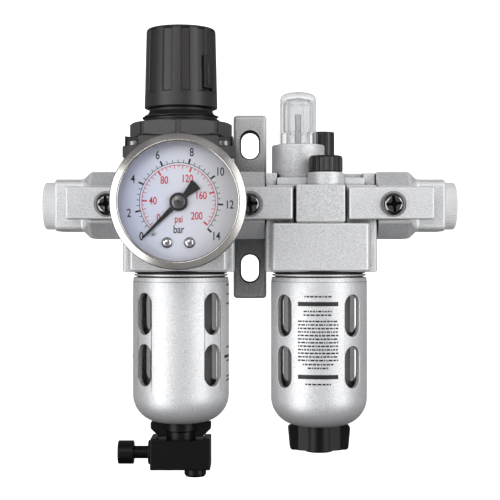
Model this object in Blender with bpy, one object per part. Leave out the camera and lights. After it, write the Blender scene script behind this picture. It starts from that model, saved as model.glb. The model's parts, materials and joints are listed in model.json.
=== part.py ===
"""Combined air preparation unit: filter regulator, lubricator, wall bracket and pressure gauge.

Frame: +X towards the air outlet, +Y into the wall, +Z up.  The origin is the centre of the
wall bracket's back face.  All lengths below are in millimetres; each finished mesh is written
in metres.
"""

import math

import bmesh
import bpy
from mathutils import Matrix, Vector

MM = 0.001

# Positions of the two vertical centre lines, of the port axis and of the gauge.
REGULATOR_X = -25.2
LUBRICATOR_X = 25.2
AXIS_Y = -26.0
PORT_Z = -0.4
GAUGE_X = -23.8
GAP = 0.3

# Share of the segments named below that a turned piece is given, with a least number.
ROUNDNESS = 0.6
LEAST_SEGMENTS = 10

# Castings.
BODY_HALF = 19.7
BODY_FRONT_HALF = 16.7
BODY_FRONT = -20.0
BODY_SHOULDER = -8.0
BODY_BACK = 17.5
BODY_BOTTOM = -24.2
BODY_TOP = 11.3
LEDGE_TOP = 6.5
REGULATOR_TOP = 16.0
RECESS_FRONT = -16.0
RECESS_LOW = -6.8
BOSS_HALF = 8.6
PASSAGE_R = 4.0

# Wall bracket.
PLATE_HALF = 6.3
PLATE_THICK = 8.0
PLATE_HALF_HEIGHT = 34.8
SLOT_WIDTH = 6.8
SLOT_HEIGHT = 10.4
SLOT_Z = 23.4
BRACKET_SCREW_Z = 8.0

# Port adapters, clamps and plugs.
ADAPTER_START = 45.2
ADAPTER_WIDE_END = 57.0
ADAPTER_NARROW_START = 59.8
ADAPTER_END = 70.0
WIDE_HALF = 12.0
NARROW_HALF = 9.35
NARROW_DEPTH = 9.6
PORT_R = 5.75
PORT_DEPTH = 12.0
SPOT_R = 8.85
CLAMP_HALF = 14.9
CLAMP_LOW = -6.1
CLAMP_HIGH = 5.3
CLAMP_FRONT = -21.2
CLAMP_X = 49.5
CLAMP_SCREW_X = 50.0
SCREW_HEAD_R = 4.0
PLUG_R = 8.6
PLUG_END = 74.7

# Bonnet, knob and pressure spring.
FLANGE_LOW = 16.3
FLANGE_STEP = 20.3
FLANGE_TOP = 24.0
FLANGE_HALF = 20.0
NECK_R = 13.6
NECK_TOP = 34.6
TURRET_R = 9.6
TURRET_TOP = 52.0
SPRING_BORE_R = 8.0
NUT_R = 19.0
KNOB_LOW = 35.0
KNOB_TOP = 64.0
KNOB_LOW_R = 13.3
KNOB_TOP_R = 12.6
CORNER_X = 15.3
CORNER_Y = 13.8

# Gauge, measured along its own axis as Y offsets from the centre lines.
CASE_R = 21.6
BEZEL_R = 22.7
WINDOW_R = 19.5
CASE_BACK = -24.2
CASE_FRONT = -43.7
DIAL_Y = -39.9

# Bowls and guards.
BOWL_BORE_R = 15.25
SPIGOT_BORE_R = 13.4
GUARD_R = 17.5
GUARD_NECK_R = 14.9
GUARD_CORNER = 10.2
GUARD_SHOULDER = -26.7
FILTER_GUARD_BOTTOM = -79.0
OIL_GUARD_BOTTOM = -80.2
WINDOW_WIDTH = 7.9
WINDOW_HEIGHT = 15.2
WINDOW_ROWS = (-39.2, -57.5)

# Lubricator head, as offsets from the lubricator's centre line.
DOME_X = -7.6
DOME_BOSS_R = 9.6
DOME_BOSS_TOP = 21.7
FILLER_X = 1.7
FILLER_Y = -13.2
RATE_X = 2.2
RATE_Y = 10.0

TURNS = {
    "X": Matrix.Rotation(math.radians(90), 4, "Y"),
    "Y": Matrix.Rotation(math.radians(-90), 4, "X"),
    "Z": Matrix.Identity(4),
}

FINISHES = {
    "cast_aluminium": ((0.62, 0.63, 0.64, 1.0), 0.42, 1.0),
    "black_nylon": ((0.055, 0.055, 0.058, 1.0), 0.55, 0.0),
    "charcoal_nylon": ((0.09, 0.09, 0.093, 1.0), 0.6, 0.0),
    "near_black": ((0.012, 0.012, 0.012, 1.0), 0.5, 0.0),
    "black_steel": ((0.02, 0.02, 0.022, 1.0), 0.3, 1.0),
    "plated_steel": ((0.75, 0.75, 0.76, 1.0), 0.2, 1.0),
    "chrome": ((0.85, 0.85, 0.86, 1.0), 0.06, 1.0),
    "clear_polycarbonate": ((0.9, 0.92, 0.93, 0.35), 0.06, 0.0),
    "lens": ((0.95, 0.96, 0.97, 0.2), 0.02, 0.0),
    "dial_white": ((0.85, 0.86, 0.9, 1.0), 0.5, 0.0),
    "brass": ((0.72, 0.55, 0.28, 1.0), 0.3, 1.0),
    "rubber": ((0.02, 0.02, 0.02, 1.0), 0.7, 0.0),
    "filter_white": ((0.8, 0.79, 0.74, 1.0), 0.8, 0.0),
    "milky_plug": ((0.86, 0.86, 0.85, 1.0), 0.45, 0.0),
}


def clear_scene():
    """Remove every object that the file starts with."""
    for item in list(bpy.data.objects):
        bpy.data.objects.remove(item, do_unlink=True)


def new_object(name, bm):
    """Turn a bmesh in millimetres into a linked object with its faces pointing out."""
    bmesh.ops.recalc_face_normals(bm, faces=bm.faces)
    mesh = bpy.data.meshes.new(name)
    bm.to_mesh(mesh)
    bm.free()
    item = bpy.data.objects.new(name, mesh)
    bpy.context.scene.collection.objects.link(item)
    return item


def lathe(name, profile, centre, axis="Z", steps=32):
    """Turn a (radius, height) outline about an axis through centre."""
    steps = max(LEAST_SEGMENTS, 2 * round(steps * ROUNDNESS / 2))
    bm = bmesh.new()
    points = [bm.verts.new((radius, 0.0, height)) for radius, height in profile]
    edges = [bm.edges.new(pair) for pair in zip(points, points[1:])]
    if profile[0][0] > 0.0:
        edges.append(bm.edges.new((points[-1], points[0])))
    bmesh.ops.spin(bm, geom=points + edges, cent=(0, 0, 0), axis=(0, 0, 1), angle=math.tau, steps=steps)
    bmesh.ops.remove_doubles(bm, verts=bm.verts, dist=0.0005)
    bm.transform(Matrix.Translation(Vector(centre)) @ TURNS[axis])
    return new_object(name, bm)


def pin(name, radius, low, high, centre, axis="Z", steps=24):
    """Make a solid cylinder between two heights along an axis through centre."""
    return lathe(name, [(0, low), (radius, low), (radius, high), (0, high)], centre, axis, steps)


def bore(name, sections, end, centre, axis="Z", steps=24):
    """Make a cutter from (radius, start) sections that follow each other up to end."""
    stops = [start for _, start in sections[1:]] + [end]
    profile = [(0, sections[0][1])]
    for (radius, start), stop in zip(sections, stops):
        profile += [(radius, start), (radius, stop)]
    return lathe(name, profile + [(0, end)], centre, axis, steps)


def tube(name, inner, outer, low, high, centre, axis="Z", steps=24):
    """Make a plain ring or tube."""
    return lathe(name, [(inner, low), (outer, low), (outer, high), (inner, high)], centre, axis, steps)


def block(name, x_span, y_span, z_span, bevel=0.0):
    """Make a box from three spans, with its edges bevelled when asked."""
    bm = bmesh.new()
    bmesh.ops.create_cube(bm, size=1.0)
    spans = (x_span, y_span, z_span)
    size = [high - low for low, high in spans]
    middle = [(high + low) / 2 for low, high in spans]
    bm.transform(Matrix.Translation(middle) @ Matrix.Diagonal((*size, 1.0)))
    if bevel:
        bmesh.ops.bevel(bm, geom=list(bm.edges), offset=bevel, segments=1, affect="EDGES")
    return new_object(name, bm)


def loft(name, rings):
    """Join equal rings of 3-D points into one closed solid."""
    bm = bmesh.new()
    loops = [[bm.verts.new(point) for point in ring] for ring in rings]
    for lower, upper in zip(loops, loops[1:]):
        for index in range(len(lower)):
            following = (index + 1) % len(lower)
            bm.faces.new((lower[index], lower[following], upper[following], upper[index]))
    bm.faces.new(loops[0])
    bm.faces.new(loops[-1])
    return new_object(name, bm)


def prism(name, outline, low, high, axis="Z"):
    """Extrude a flat outline: (x, y) along Z, (y, z) along X, or (x, z) along Y."""
    makers = {
        "X": lambda a, b, h: (h, a, b),
        "Y": lambda a, b, h: (a, h, b),
        "Z": lambda a, b, h: (a, b, h),
    }
    maker = makers[axis]
    return loft(name, [[maker(a, b, height) for a, b in outline] for height in (low, high)])


def polygon(sides, radius, centre, turn=0.0):
    """Return the corners of a regular polygon round centre."""
    angles = [math.radians(turn) + math.tau * index / sides for index in range(sides)]
    return [(centre[0] + radius * math.cos(a), centre[1] + radius * math.sin(a)) for a in angles]


def stadium(width, height, centre, steps=6):
    """Return an upright slot outline with round ends."""
    radius = width / 2
    reach = height / 2 - radius
    points = []
    for side, start in ((1, 0.0), (-1, math.pi)):
        for index in range(steps + 1):
            angle = start + math.pi * index / steps
            across = centre[0] + radius * math.cos(angle)
            points.append((across, centre[1] + side * reach + radius * math.sin(angle)))
    return points


def arc(centre, radius, start, stop, steps):
    """Return points on an arc between two angles in degrees."""
    angles = [math.radians(start + (stop - start) * index / steps) for index in range(steps + 1)]
    return [(centre[0] + radius * math.cos(a), centre[1] + radius * math.sin(a)) for a in angles]


def coil(name, radius, wire, low, high, turns, centre, steps=10, sides=5):
    """Make a compression spring as one helical wire with flat ends."""
    bm = bmesh.new()
    count = int(turns * steps)
    rise = high - low - 2 * wire
    loops = []
    for index in range(count + 1):
        angle = math.tau * index / steps
        outward = Vector((math.cos(angle), math.sin(angle), 0.0))
        middle = outward * radius + Vector((0, 0, low + wire + rise * index / count))
        loops.append([
            bm.verts.new(middle + wire * (outward * math.cos(side) + Vector((0, 0, math.sin(side)))))
            for side in (math.tau * k / sides for k in range(sides))
        ])
    for first, second in zip(loops, loops[1:]):
        for index in range(sides):
            following = (index + 1) % sides
            bm.faces.new((first[index], first[following], second[following], second[index]))
    bm.faces.new(loops[0])
    bm.faces.new(loops[-1])
    bm.transform(Matrix.Translation(Vector(centre)))
    return new_object(name, bm)


def weld(mesh):
    """Merge the doubled points that a cut can leave."""
    bm = bmesh.new()
    bm.from_mesh(mesh)
    bmesh.ops.remove_doubles(bm, verts=bm.verts, dist=0.002)
    bmesh.ops.dissolve_degenerate(bm, edges=bm.edges, dist=0.001)
    bm.to_mesh(mesh)
    bm.free()
    return mesh


def combine(item, operation, tools):
    """Add or cut tool solids, and remove the tools."""
    for tool in tools:
        modifier = item.modifiers.new(operation.lower(), "BOOLEAN")
        modifier.operation = operation
        modifier.solver = "EXACT"
        modifier.object = tool
        graph = bpy.context.evaluated_depsgraph_get()
        mesh = bpy.data.meshes.new_from_object(item.evaluated_get(graph))
        item.modifiers.clear()
        item.data = weld(mesh)
        bpy.data.objects.remove(tool, do_unlink=True)
    return item


def join(item, *tools):
    """Unite an object with other solids."""
    return combine(item, "UNION", tools)


def cut(item, *tools):
    """Cut other solids out of an object."""
    return combine(item, "DIFFERENCE", tools)


def turned(item, angle, centre):
    """Turn an object about the vertical line through centre."""
    pivot = Matrix.Translation(Vector(centre))
    item.data.transform(pivot @ Matrix.Rotation(math.radians(angle), 4, "Z") @ pivot.inverted())
    return item


def finish(item, finish_name, pivot=(0.0, 0.0, 0.0)):
    """Give a solid its material, smooth shading and origin, and write it in metres."""
    mesh = item.data
    mesh.name = item.name
    mesh.transform(Matrix.Scale(MM, 4) @ Matrix.Translation(-Vector(pivot)))
    item.location = Vector(pivot) * MM
    material = bpy.data.materials.get(finish_name)
    if material is None:
        color, roughness, metallic = FINISHES[finish_name]
        material = bpy.data.materials.new(finish_name)
        material.use_nodes = True
        shader = material.node_tree.nodes["Principled BSDF"]
        shader.inputs["Base Color"].default_value = color
        shader.inputs["Roughness"].default_value = roughness
        shader.inputs["Metallic"].default_value = metallic
        shader.inputs["Alpha"].default_value = color[3]
    mesh.materials.clear()
    mesh.materials.append(material)
    mesh.shade_smooth()
    mesh.set_sharp_from_angle(angle=math.radians(35))
    return item


def at(x_offset, y_offset=0.0, centre_x=0.0, z=0.0):
    """Return a point given as offsets from a vertical centre line."""
    return (centre_x + x_offset, AXIS_Y + y_offset, z)


def plan(outline, centre_x):
    """Move a plan outline from a centre line's frame to the part's frame."""
    return [(x + centre_x, y + AXIS_Y) for x, y in outline]


def dovetail_section():
    """Return the (y, z) outline shared by the spacer and the wide part of each adapter."""
    half = [(-16.0, -6.3), (-16.0, 6.3), (-9.0, WIDE_HALF), (9.0, WIDE_HALF)]
    half += [(16.0, 6.3), (16.0, -6.3), (9.0, -WIDE_HALF), (-9.0, -WIDE_HALF)]
    return [(AXIS_Y + y, PORT_Z + z) for y, z in half]


def narrow_section():
    """Return the (y, z) outline of an adapter's narrow end, with chamfered corners."""
    deep, tall, edge = NARROW_DEPTH, NARROW_HALF, 1.4
    half = [(-deep, edge - tall), (-deep, tall - edge), (edge - deep, tall), (deep - edge, tall)]
    half += [(deep, tall - edge), (deep, edge - tall), (deep - edge, -tall), (edge - deep, -tall)]
    return [(AXIS_Y + y, PORT_Z + z) for y, z in half]


def casting_base(name, centre_x, top):
    """Make the shape that both castings share, with the clamp recesses cut in its front."""
    outline = [
        (-BODY_FRONT_HALF, BODY_FRONT), (BODY_FRONT_HALF, BODY_FRONT), (BODY_HALF, BODY_SHOULDER),
        (BODY_HALF, BODY_BACK), (-BODY_HALF, BODY_BACK), (-BODY_HALF, BODY_SHOULDER),
    ]
    body = prism(name, plan(outline, centre_x), BODY_BOTTOM, top)
    y_span = (AXIS_Y - 30, AXIS_Y + RECESS_FRONT)
    for side in (-1, 1):
        x_span = sorted((centre_x + side * BOSS_HALF, centre_x + side * 25))
        cut(body, block("recess", x_span, y_span, (RECESS_LOW, top + 5)))
    return body


def cut_bowl_bores(body, centre_x):
    """Open the underside of a casting for a bowl, its seal and its guard's thread."""
    sections = ((BOWL_BORE_R, BODY_BOTTOM - 1), (SPIGOT_BORE_R, -13.9))
    cut(body, bore("bowl_bore", sections, -9.0, at(0, 0, centre_x), steps=40))


def make_regulator_body():
    """Make the filter regulator's casting with its air passages and gauge port."""
    x = REGULATOR_X
    body = casting_base("regulator_body", x, REGULATOR_TOP)
    front_cut = ((x - 25, x + 25), (AXIS_Y - 30, AXIS_Y + RECESS_FRONT), (LEDGE_TOP, REGULATOR_TOP + 1))
    cut(body, block("front_cut", *front_cut))
    cut_bowl_bores(body, x)
    cut(
        body,
        pin("orifice", 2.6, -9.5, -2.0, at(0, 0, x), steps=20),
        pin("outlet", PASSAGE_R, x - 3.0, x + 21, (0, AXIS_Y, PORT_Z), "X", 20),
        pin("inlet", PASSAGE_R, x - 21, x - 8.6, (0, AXIS_Y, PORT_Z), "X", 20),
        pin("down_hole", 2.6, -9.5, PORT_Z, at(-11, 0, x), steps=16),
        pin("stem_bore", 1.3, 0.0, 12.5, at(0, 0, x), steps=12),
        bore("chamber", ((11.0, 12.0), (14.9, 14.0)), REGULATOR_TOP + 1, at(0, 0, x), steps=32),
        bore("gauge_port", ((5.0, AXIS_Y - 22), (1.2, AXIS_Y - 9.5)), AXIS_Y - 3.2,
             (GAUGE_X, 0, PORT_Z), "Y", 20),
    )
    for side_x in (-1, 1):
        for side_y in (-1, 1):
            point = at(side_x * CORNER_X, side_y * CORNER_Y, x)
            cut(body, pin("screw_hole", 1.9, 8.0, REGULATOR_TOP + 1, point, steps=12))
    return finish(body, "cast_aluminium")


def make_lubricator_body():
    """Make the lubricator's casting with its sight boss, filler boss and passages."""
    x = LUBRICATOR_X
    body = casting_base("lubricator_body", x, LEDGE_TOP)
    upper = [
        (-BODY_HALF, -8), (-15.5, -8), (-15.5, -4), (15.5, -4), (15.5, -8),
        (BODY_HALF, -8), (BODY_HALF, BODY_BACK), (-BODY_HALF, BODY_BACK),
    ]
    join(
        body,
        prism("upper", plan(upper, x), LEDGE_TOP - 1, BODY_TOP),
        pin("dome_boss", DOME_BOSS_R, 0.0, DOME_BOSS_TOP, at(DOME_X, 0, x), steps=40),
        pin("filler_boss", 6.4, 0.0, 11.1, at(FILLER_X, FILLER_Y, x), steps=32),
    )
    cut_bowl_bores(body, x)
    cut(
        body,
        pin("through", PASSAGE_R, x - 21, x + 21, (0, AXIS_Y, PORT_Z), "X", 20),
        pin("dome_bore", 5.9, 15.5, DOME_BOSS_TOP + 1, at(DOME_X, 0, x), steps=24),
        pin("siphon_bore", 1.6, -9.5, 16.0, at(-6.4, 5.9, x), steps=12),
        bore("filler_bore", ((4.2, 3.0), (5.4, 10.2)), 12.0, at(FILLER_X, FILLER_Y, x), steps=20),
        pin("filler_down", 1.8, -9.5, 3.5, at(FILLER_X, -10.5, x), steps=12),
        pin("needle_bore", 2.6, 2.0, 12.0, at(RATE_X, RATE_Y, x), steps=16),
    )
    return finish(body, "cast_aluminium")


def make_bracket():
    """Make the wall plate with its two slots, the dovetail spacer and their two screws."""
    plate = block("wall_bracket", (-PLATE_HALF, PLATE_HALF), (-PLATE_THICK, 0),
                  (-PLATE_HALF_HEIGHT, PLATE_HALF_HEIGHT))
    for height in (-SLOT_Z, SLOT_Z):
        cut(plate, prism("slot", stadium(SLOT_WIDTH, SLOT_HEIGHT, (0, height)), -10, 2, "Y"))
    spacer = prism("center_spacer", dovetail_section(), -5.2, 5.2, "X")
    join(spacer, block("back_pad", (-4.0, 4.0), (AXIS_Y + 14, -PLATE_THICK - GAP), (-11.2, 10.4)))
    cut(
        spacer,
        pin("through", PASSAGE_R, -6, 6, (0, AXIS_Y, PORT_Z), "X", 20),
        pin("clamp_hole", 2.2, AXIS_Y - 17, AXIS_Y - 8, (0, 0, PORT_Z), "Y", 16),
    )
    for number, side in enumerate((-1, 1), start=1):
        height = PORT_Z + side * BRACKET_SCREW_Z
        cut(plate, bore("screw_hole", ((2.1, -10), (3.9, -3.6)), 1, (0, 0, height), "Y", 16))
        cut(spacer, pin("screw_hole", 2.0, AXIS_Y + 9, 0, (0, 0, height), "Y", 16))
        profile = [(0, -0.5), (3.5, -0.5), (3.5, -3.3), (1.7, -3.3), (1.7, -16.2), (0, -16.2)]
        screw = lathe(f"bracket_screw_{number}", profile, (0, 0, height), "Y", 16)
        finish(screw, "black_steel")
    finish(plate, "cast_aluminium")
    finish(spacer, "cast_aluminium")


def make_adapter(name, side):
    """Make one port adapter: a dovetail block that tapers to a square threaded end."""
    rings = []
    stations = ((ADAPTER_START, dovetail_section()), (ADAPTER_WIDE_END, dovetail_section()),
                (ADAPTER_NARROW_START, narrow_section()), (ADAPTER_END, narrow_section()))
    for x, section in stations:
        rings.append([(side * x, y, z) for y, z in section])
    adapter = loft(name, rings)
    sections = ((PASSAGE_R, 44), (PORT_R, ADAPTER_END - PORT_DEPTH), (SPOT_R, ADAPTER_END - 0.5))
    placed = [(radius, side * start) for radius, start in sections]
    cut(adapter, bore("port", placed, side * 71, (0, AXIS_Y, PORT_Z), "X", 28))
    cut(adapter, pin("clamp_hole", 2.2, AXIS_Y - 17, AXIS_Y - 8, (side * CLAMP_SCREW_X, 0, PORT_Z), "Y", 16))
    return finish(adapter, "cast_aluminium")


def make_port_plug(name, side):
    """Make the push-in cap that keeps dirt out of a port."""
    profile = [
        (0, PLUG_END - 1.4), (6.4, PLUG_END - 1.4), (7.0, PLUG_END), (8.1, PLUG_END),
        (PLUG_R, PLUG_END - 0.5), (PLUG_R, ADAPTER_END - 0.2), (5.4, ADAPTER_END - 0.2),
        (5.2, 60.5), (4.2, 60.5), (4.2, 71.6), (0, 71.6),
    ]
    placed = [(radius, side * x) for radius, x in profile]
    plug = lathe(name, placed, (0, AXIS_Y, PORT_Z), "X", 32)
    return finish(plug, "milky_plug", (side * ADAPTER_END, AXIS_Y, PORT_Z))


def make_clamps():
    """Make the three straps that pull the dovetails together, each with its screw."""
    places = (("left", -CLAMP_X, -CLAMP_SCREW_X), ("center", 0.0, 0.0), ("right", CLAMP_X, CLAMP_SCREW_X))
    for label, middle, screw_x in places:
        x_span = (middle - CLAMP_HALF, middle + CLAMP_HALF)
        y_span = (AXIS_Y + CLAMP_FRONT, AXIS_Y + RECESS_FRONT - GAP)
        strap = block(f"clamp_{label}", x_span, y_span, (CLAMP_LOW, CLAMP_HIGH), 0.8)
        cut(strap, pin("hole", 2.4, AXIS_Y - 25, AXIS_Y - 10, (screw_x, 0, PORT_Z), "Y", 16))
        finish(strap, "cast_aluminium")
        profile = [
            (0, -23.7), (2.2, -23.6), (3.5, -22.9), (SCREW_HEAD_R, -22.0), (SCREW_HEAD_R, -21.5),
            (1.9, -21.5), (1.9, -9.0), (0, -9.0),
        ]
        screw = lathe(f"clamp_screw_{label}", profile, (screw_x, AXIS_Y, PORT_Z), "Y", 20)
        finish(screw, "black_steel")


def make_bonnet():
    """Make the spring housing with its corner pockets, its four screws and the panel nut."""
    x = REGULATOR_X
    half, deep = FLANGE_HALF, 17.4
    low = [(-half, -14.5), (-17, -18), (17, -18), (half, -14.5), (half, deep - 2), (half - 2, deep),
           (2 - half, deep), (-half, deep - 2)]
    high = [(0.96 * px, 0.96 * py) for px, py in low]
    bonnet = prism("bonnet", plan(low, x), FLANGE_LOW, FLANGE_STEP)
    column = [
        (0, FLANGE_LOW + 1), (NECK_R, FLANGE_LOW + 1), (NECK_R, 33.2), (12.2, 33.2),
        (12.2, NECK_TOP), (TURRET_R, NECK_TOP), (TURRET_R, TURRET_TOP), (0, TURRET_TOP),
    ]
    join(
        bonnet,
        prism("upper", plan(high, x), FLANGE_STEP - 1, FLANGE_TOP),
        lathe("column", column, at(0, 0, x), steps=40),
    )
    cut(
        bonnet,
        bore("spring_bore", ((11.0, FLANGE_LOW - 1), (SPRING_BORE_R, FLANGE_LOW + 1.7), (3.3, TURRET_TOP - 2)),
             TURRET_TOP + 1, at(0, 0, x), steps=32),
    )
    number = 0
    for side_x in (-1, 1):
        for side_y in (-1, 1):
            number += 1
            point = at(side_x * CORNER_X, side_y * CORNER_Y, x)
            sections = ((1.9, FLANGE_LOW - 1), (3.7, 20.0))
            cut(bonnet, bore("pocket", sections, FLANGE_TOP + 1, point, steps=20))
            profile = [(0, 8.6), (1.5, 8.6), (1.5, 20.3), (3.2, 20.3), (3.2, 22.2), (2.4, 22.9), (0, 22.9)]
            finish(lathe(f"bonnet_screw_{number}", profile, point, steps=16), "black_steel")
    finish(bonnet, "charcoal_nylon")
    nut = prism("panel_nut", polygon(8, NUT_R, (x, AXIS_Y), -90), FLANGE_TOP + GAP, 29.6)
    cut(nut, pin("thread", NECK_R + GAP, FLANGE_TOP, 31, at(0, 0, x), steps=40))
    finish(nut, "charcoal_nylon")


def make_pressure_setting():
    """Make the knob, adjusting screw, spring guide, spring, diaphragm and its plate."""
    x = REGULATOR_X
    pivot = at(0, 0, x, KNOB_LOW)
    knob_outline = [
        (10.4, KNOB_LOW), (KNOB_LOW_R, KNOB_LOW), (KNOB_LOW_R, 37.0), (KNOB_TOP_R, KNOB_TOP - 1.2),
        (KNOB_TOP_R - 1.2, KNOB_TOP), (0.5, KNOB_TOP), (0.5, 60.5), (10.4, 60.5),
    ]
    knob = lathe("knob", knob_outline, at(0, 0, x), steps=40)
    join(knob, pin("hub", 7.0, 53.2, KNOB_TOP - 0.5, at(0, 0, x), steps=24))
    cut(knob, prism("socket", polygon(6, 4.7, (x, AXIS_Y)), 52.0, 58.8))
    finish(knob, "black_nylon", pivot)
    shaft = [
        (0, 26.5), (2.9, 26.5), (2.9, 47.8), (5.0, 47.8), (5.0, 49.6), (2.9, 49.6), (2.9, 53.0), (0, 53.0),
    ]
    screw = lathe("adjusting_screw", shaft, at(0, 0, x), steps=20)
    join(screw, prism("head", polygon(6, 4.2, (x, AXIS_Y)), 52.4, 58.2))
    finish(screw, "plated_steel", pivot)
    guide = tube("spring_guide", 3.2, 7.0, 36.0, 40.0, at(0, 0, x), steps=28)
    finish(guide, "brass", at(0, 0, x, 36.0))
    spring = coil("pressure_spring", 6.2, 0.9, 16.9, 35.7, 5.5, at(0, 0, x))
    finish(spring, "plated_steel", at(0, 0, x, 16.9))
    finish(tube("diaphragm", 7.5, 14.6, 14.3, 15.9, at(0, 0, x), steps=32), "rubber")
    plate = [(0, 14.4), (7.2, 14.4), (7.2, 16.6), (3.5, 16.6), (3.5, 18.6), (0, 18.6)]
    finish(lathe("diaphragm_plate", plate, at(0, 0, x), steps=24), "brass", at(0, 0, x, 14.4))


def make_valve_and_filter():
    """Make the poppet, its spring and guide, and the filter element with its deflector and baffle."""
    x = REGULATOR_X
    poppet = [
        (0, -13.5), (1.2, -13.5), (1.2, -11.8), (3.5, -11.8), (3.5, -9.9), (2.9, -9.3),
        (0.9, -9.3), (0.9, 14.1), (0, 14.1),
    ]
    finish(lathe("valve_poppet", poppet, at(0, 0, x), steps=16), "brass", at(0, 0, x, -9.3))
    finish(coil("valve_spring", 2.4, 0.45, -19.6, -12.2, 4.5, at(0, 0, x), 8, 4), "plated_steel")
    guide = [(0, -21.5), (5.1, -21.5), (5.1, -9.3), (3.9, -9.3), (3.9, -19.9), (0, -19.9)]
    finish(lathe("valve_guide", guide, at(0, 0, x), steps=20), "black_nylon")
    finish(tube("deflector", 5.5, 10.8, -12.0, -9.3, at(0, 0, x), steps=24), "black_nylon")
    finish(tube("filter_element", 5.5, 8.6, -38.0, -12.3, at(0, 0, x), steps=28), "filter_white")
    baffle = [
        (0, -40.5), (9.2, -40.5), (9.8, -39.6), (9.8, -38.3), (1.8, -38.3), (1.8, -21.8), (0, -21.8),
    ]
    finish(lathe("baffle", baffle, at(0, 0, x), steps=24), "black_nylon")


def make_gauge():
    """Make the pressure gauge: stem, case, bezel, lens, dial, pointer and bourdon tube."""
    centre = (GAUGE_X, AXIS_Y, PORT_Z)
    stem = [(0, -27.5), (3.6, -27.5), (3.6, -22.7), (4.7, -21.0), (4.7, -10.0), (0, -10.0)]
    hexagon = prism("hexagon", polygon(6, 6.6, (GAUGE_X, PORT_Z)), AXIS_Y - 22.7, AXIS_Y - 20.4, "Y")
    finish(join(lathe("gauge_stem", stem, centre, "Y", 20), hexagon), "brass")
    case = [
        (4.0, CASE_BACK), (21.0, CASE_BACK), (CASE_R, CASE_BACK - 0.8), (CASE_R, CASE_FRONT),
        (20.6, CASE_FRONT), (20.6, CASE_BACK - 1.2), (4.0, CASE_BACK - 1.2),
    ]
    finish(lathe("gauge_case", case, centre, "Y", 40), "black_steel")
    bezel = [
        (BEZEL_R, -40.6), (BEZEL_R, -44.5), (22.2, -45.2), (21.4, -45.5), (20.6, -45.3),
        (WINDOW_R + 0.1, -44.6), (WINDOW_R, -44.0), (CASE_R + GAP, -44.0), (CASE_R + GAP, -40.6),
    ]
    finish(lathe("gauge_bezel", bezel, centre, "Y", 48), "chrome")
    finish(pin("gauge_lens", 20.3, -43.4, -42.2, centre, "Y", 40), "lens")
    dial = tube("gauge_dial", 1.2, 20.3, DIAL_Y, DIAL_Y + 0.5, centre, "Y", 40)
    stop = (GAUGE_X - 8.6, AXIS_Y, PORT_Z - 10.5)
    finish(join(dial, pin("stop", 0.85, DIAL_Y - 0.8, DIAL_Y + 0.2, stop, "Y", 12)), "dial_white")
    for number, across in enumerate((-3.9, 3.6), start=1):
        place = (GAUGE_X + across, AXIS_Y, PORT_Z - 13.6)
        screw = [(0, DIAL_Y - 1.1), (1.1, DIAL_Y - 1.0), (1.8, DIAL_Y - 0.3), (0, DIAL_Y - 0.3)]
        finish(lathe(f"dial_screw_{number}", screw, place, "Y", 16), "plated_steel")
    make_pointer(centre)
    make_bourdon(centre)


def make_pointer(centre):
    """Make the pointer at rest on zero, down and to the left."""
    outline = [(-0.25, 17.0), (0.25, 17.0), (1.0, 3.0), (1.5, -4.0), (2.0, -8.2), (0, -7.2), (-2.0, -8.2),
               (-1.5, -4.0), (-1.0, 3.0)]
    angle = math.radians(135)
    blade = []
    for across, along in outline:
        blade.append((centre[0] + across * math.cos(angle) - along * math.sin(angle),
                      centre[2] + across * math.sin(angle) + along * math.cos(angle)))
    hub = [(0, -41.7), (1.9, -41.7), (1.9, -41.2), (2.9, -41.0), (2.9, -40.3), (0.7, -40.3), (0.7, -34.0),
           (0, -34.0)]
    pointer = lathe("gauge_needle", hub, centre, "Y", 20)
    join(pointer, prism("blade", blade, AXIS_Y - 40.9, AXIS_Y - 40.4, "Y"))
    finish(pointer, "near_black", (centre[0], AXIS_Y - 40.5, centre[2]))


def make_bourdon(centre):
    """Make the curved pressure tube inside the gauge case, as one closed sweep."""
    rings = []
    steps = 22
    for index in range(steps + 1):
        angle = math.radians(-70 + 270 * index / steps)
        outward = Vector((math.cos(angle), 0, math.sin(angle)))
        middle = Vector(centre) + Vector((0, -30.5, 0)) + outward * 14.0
        ring = []
        for side in range(8):
            turn = math.tau * side / 8
            ring.append(middle + outward * 1.0 * math.cos(turn) + Vector((0, 2.6 * math.sin(turn), 0)))
        rings.append(ring)
    finish(loft("bourdon_tube", rings), "brass")


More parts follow.
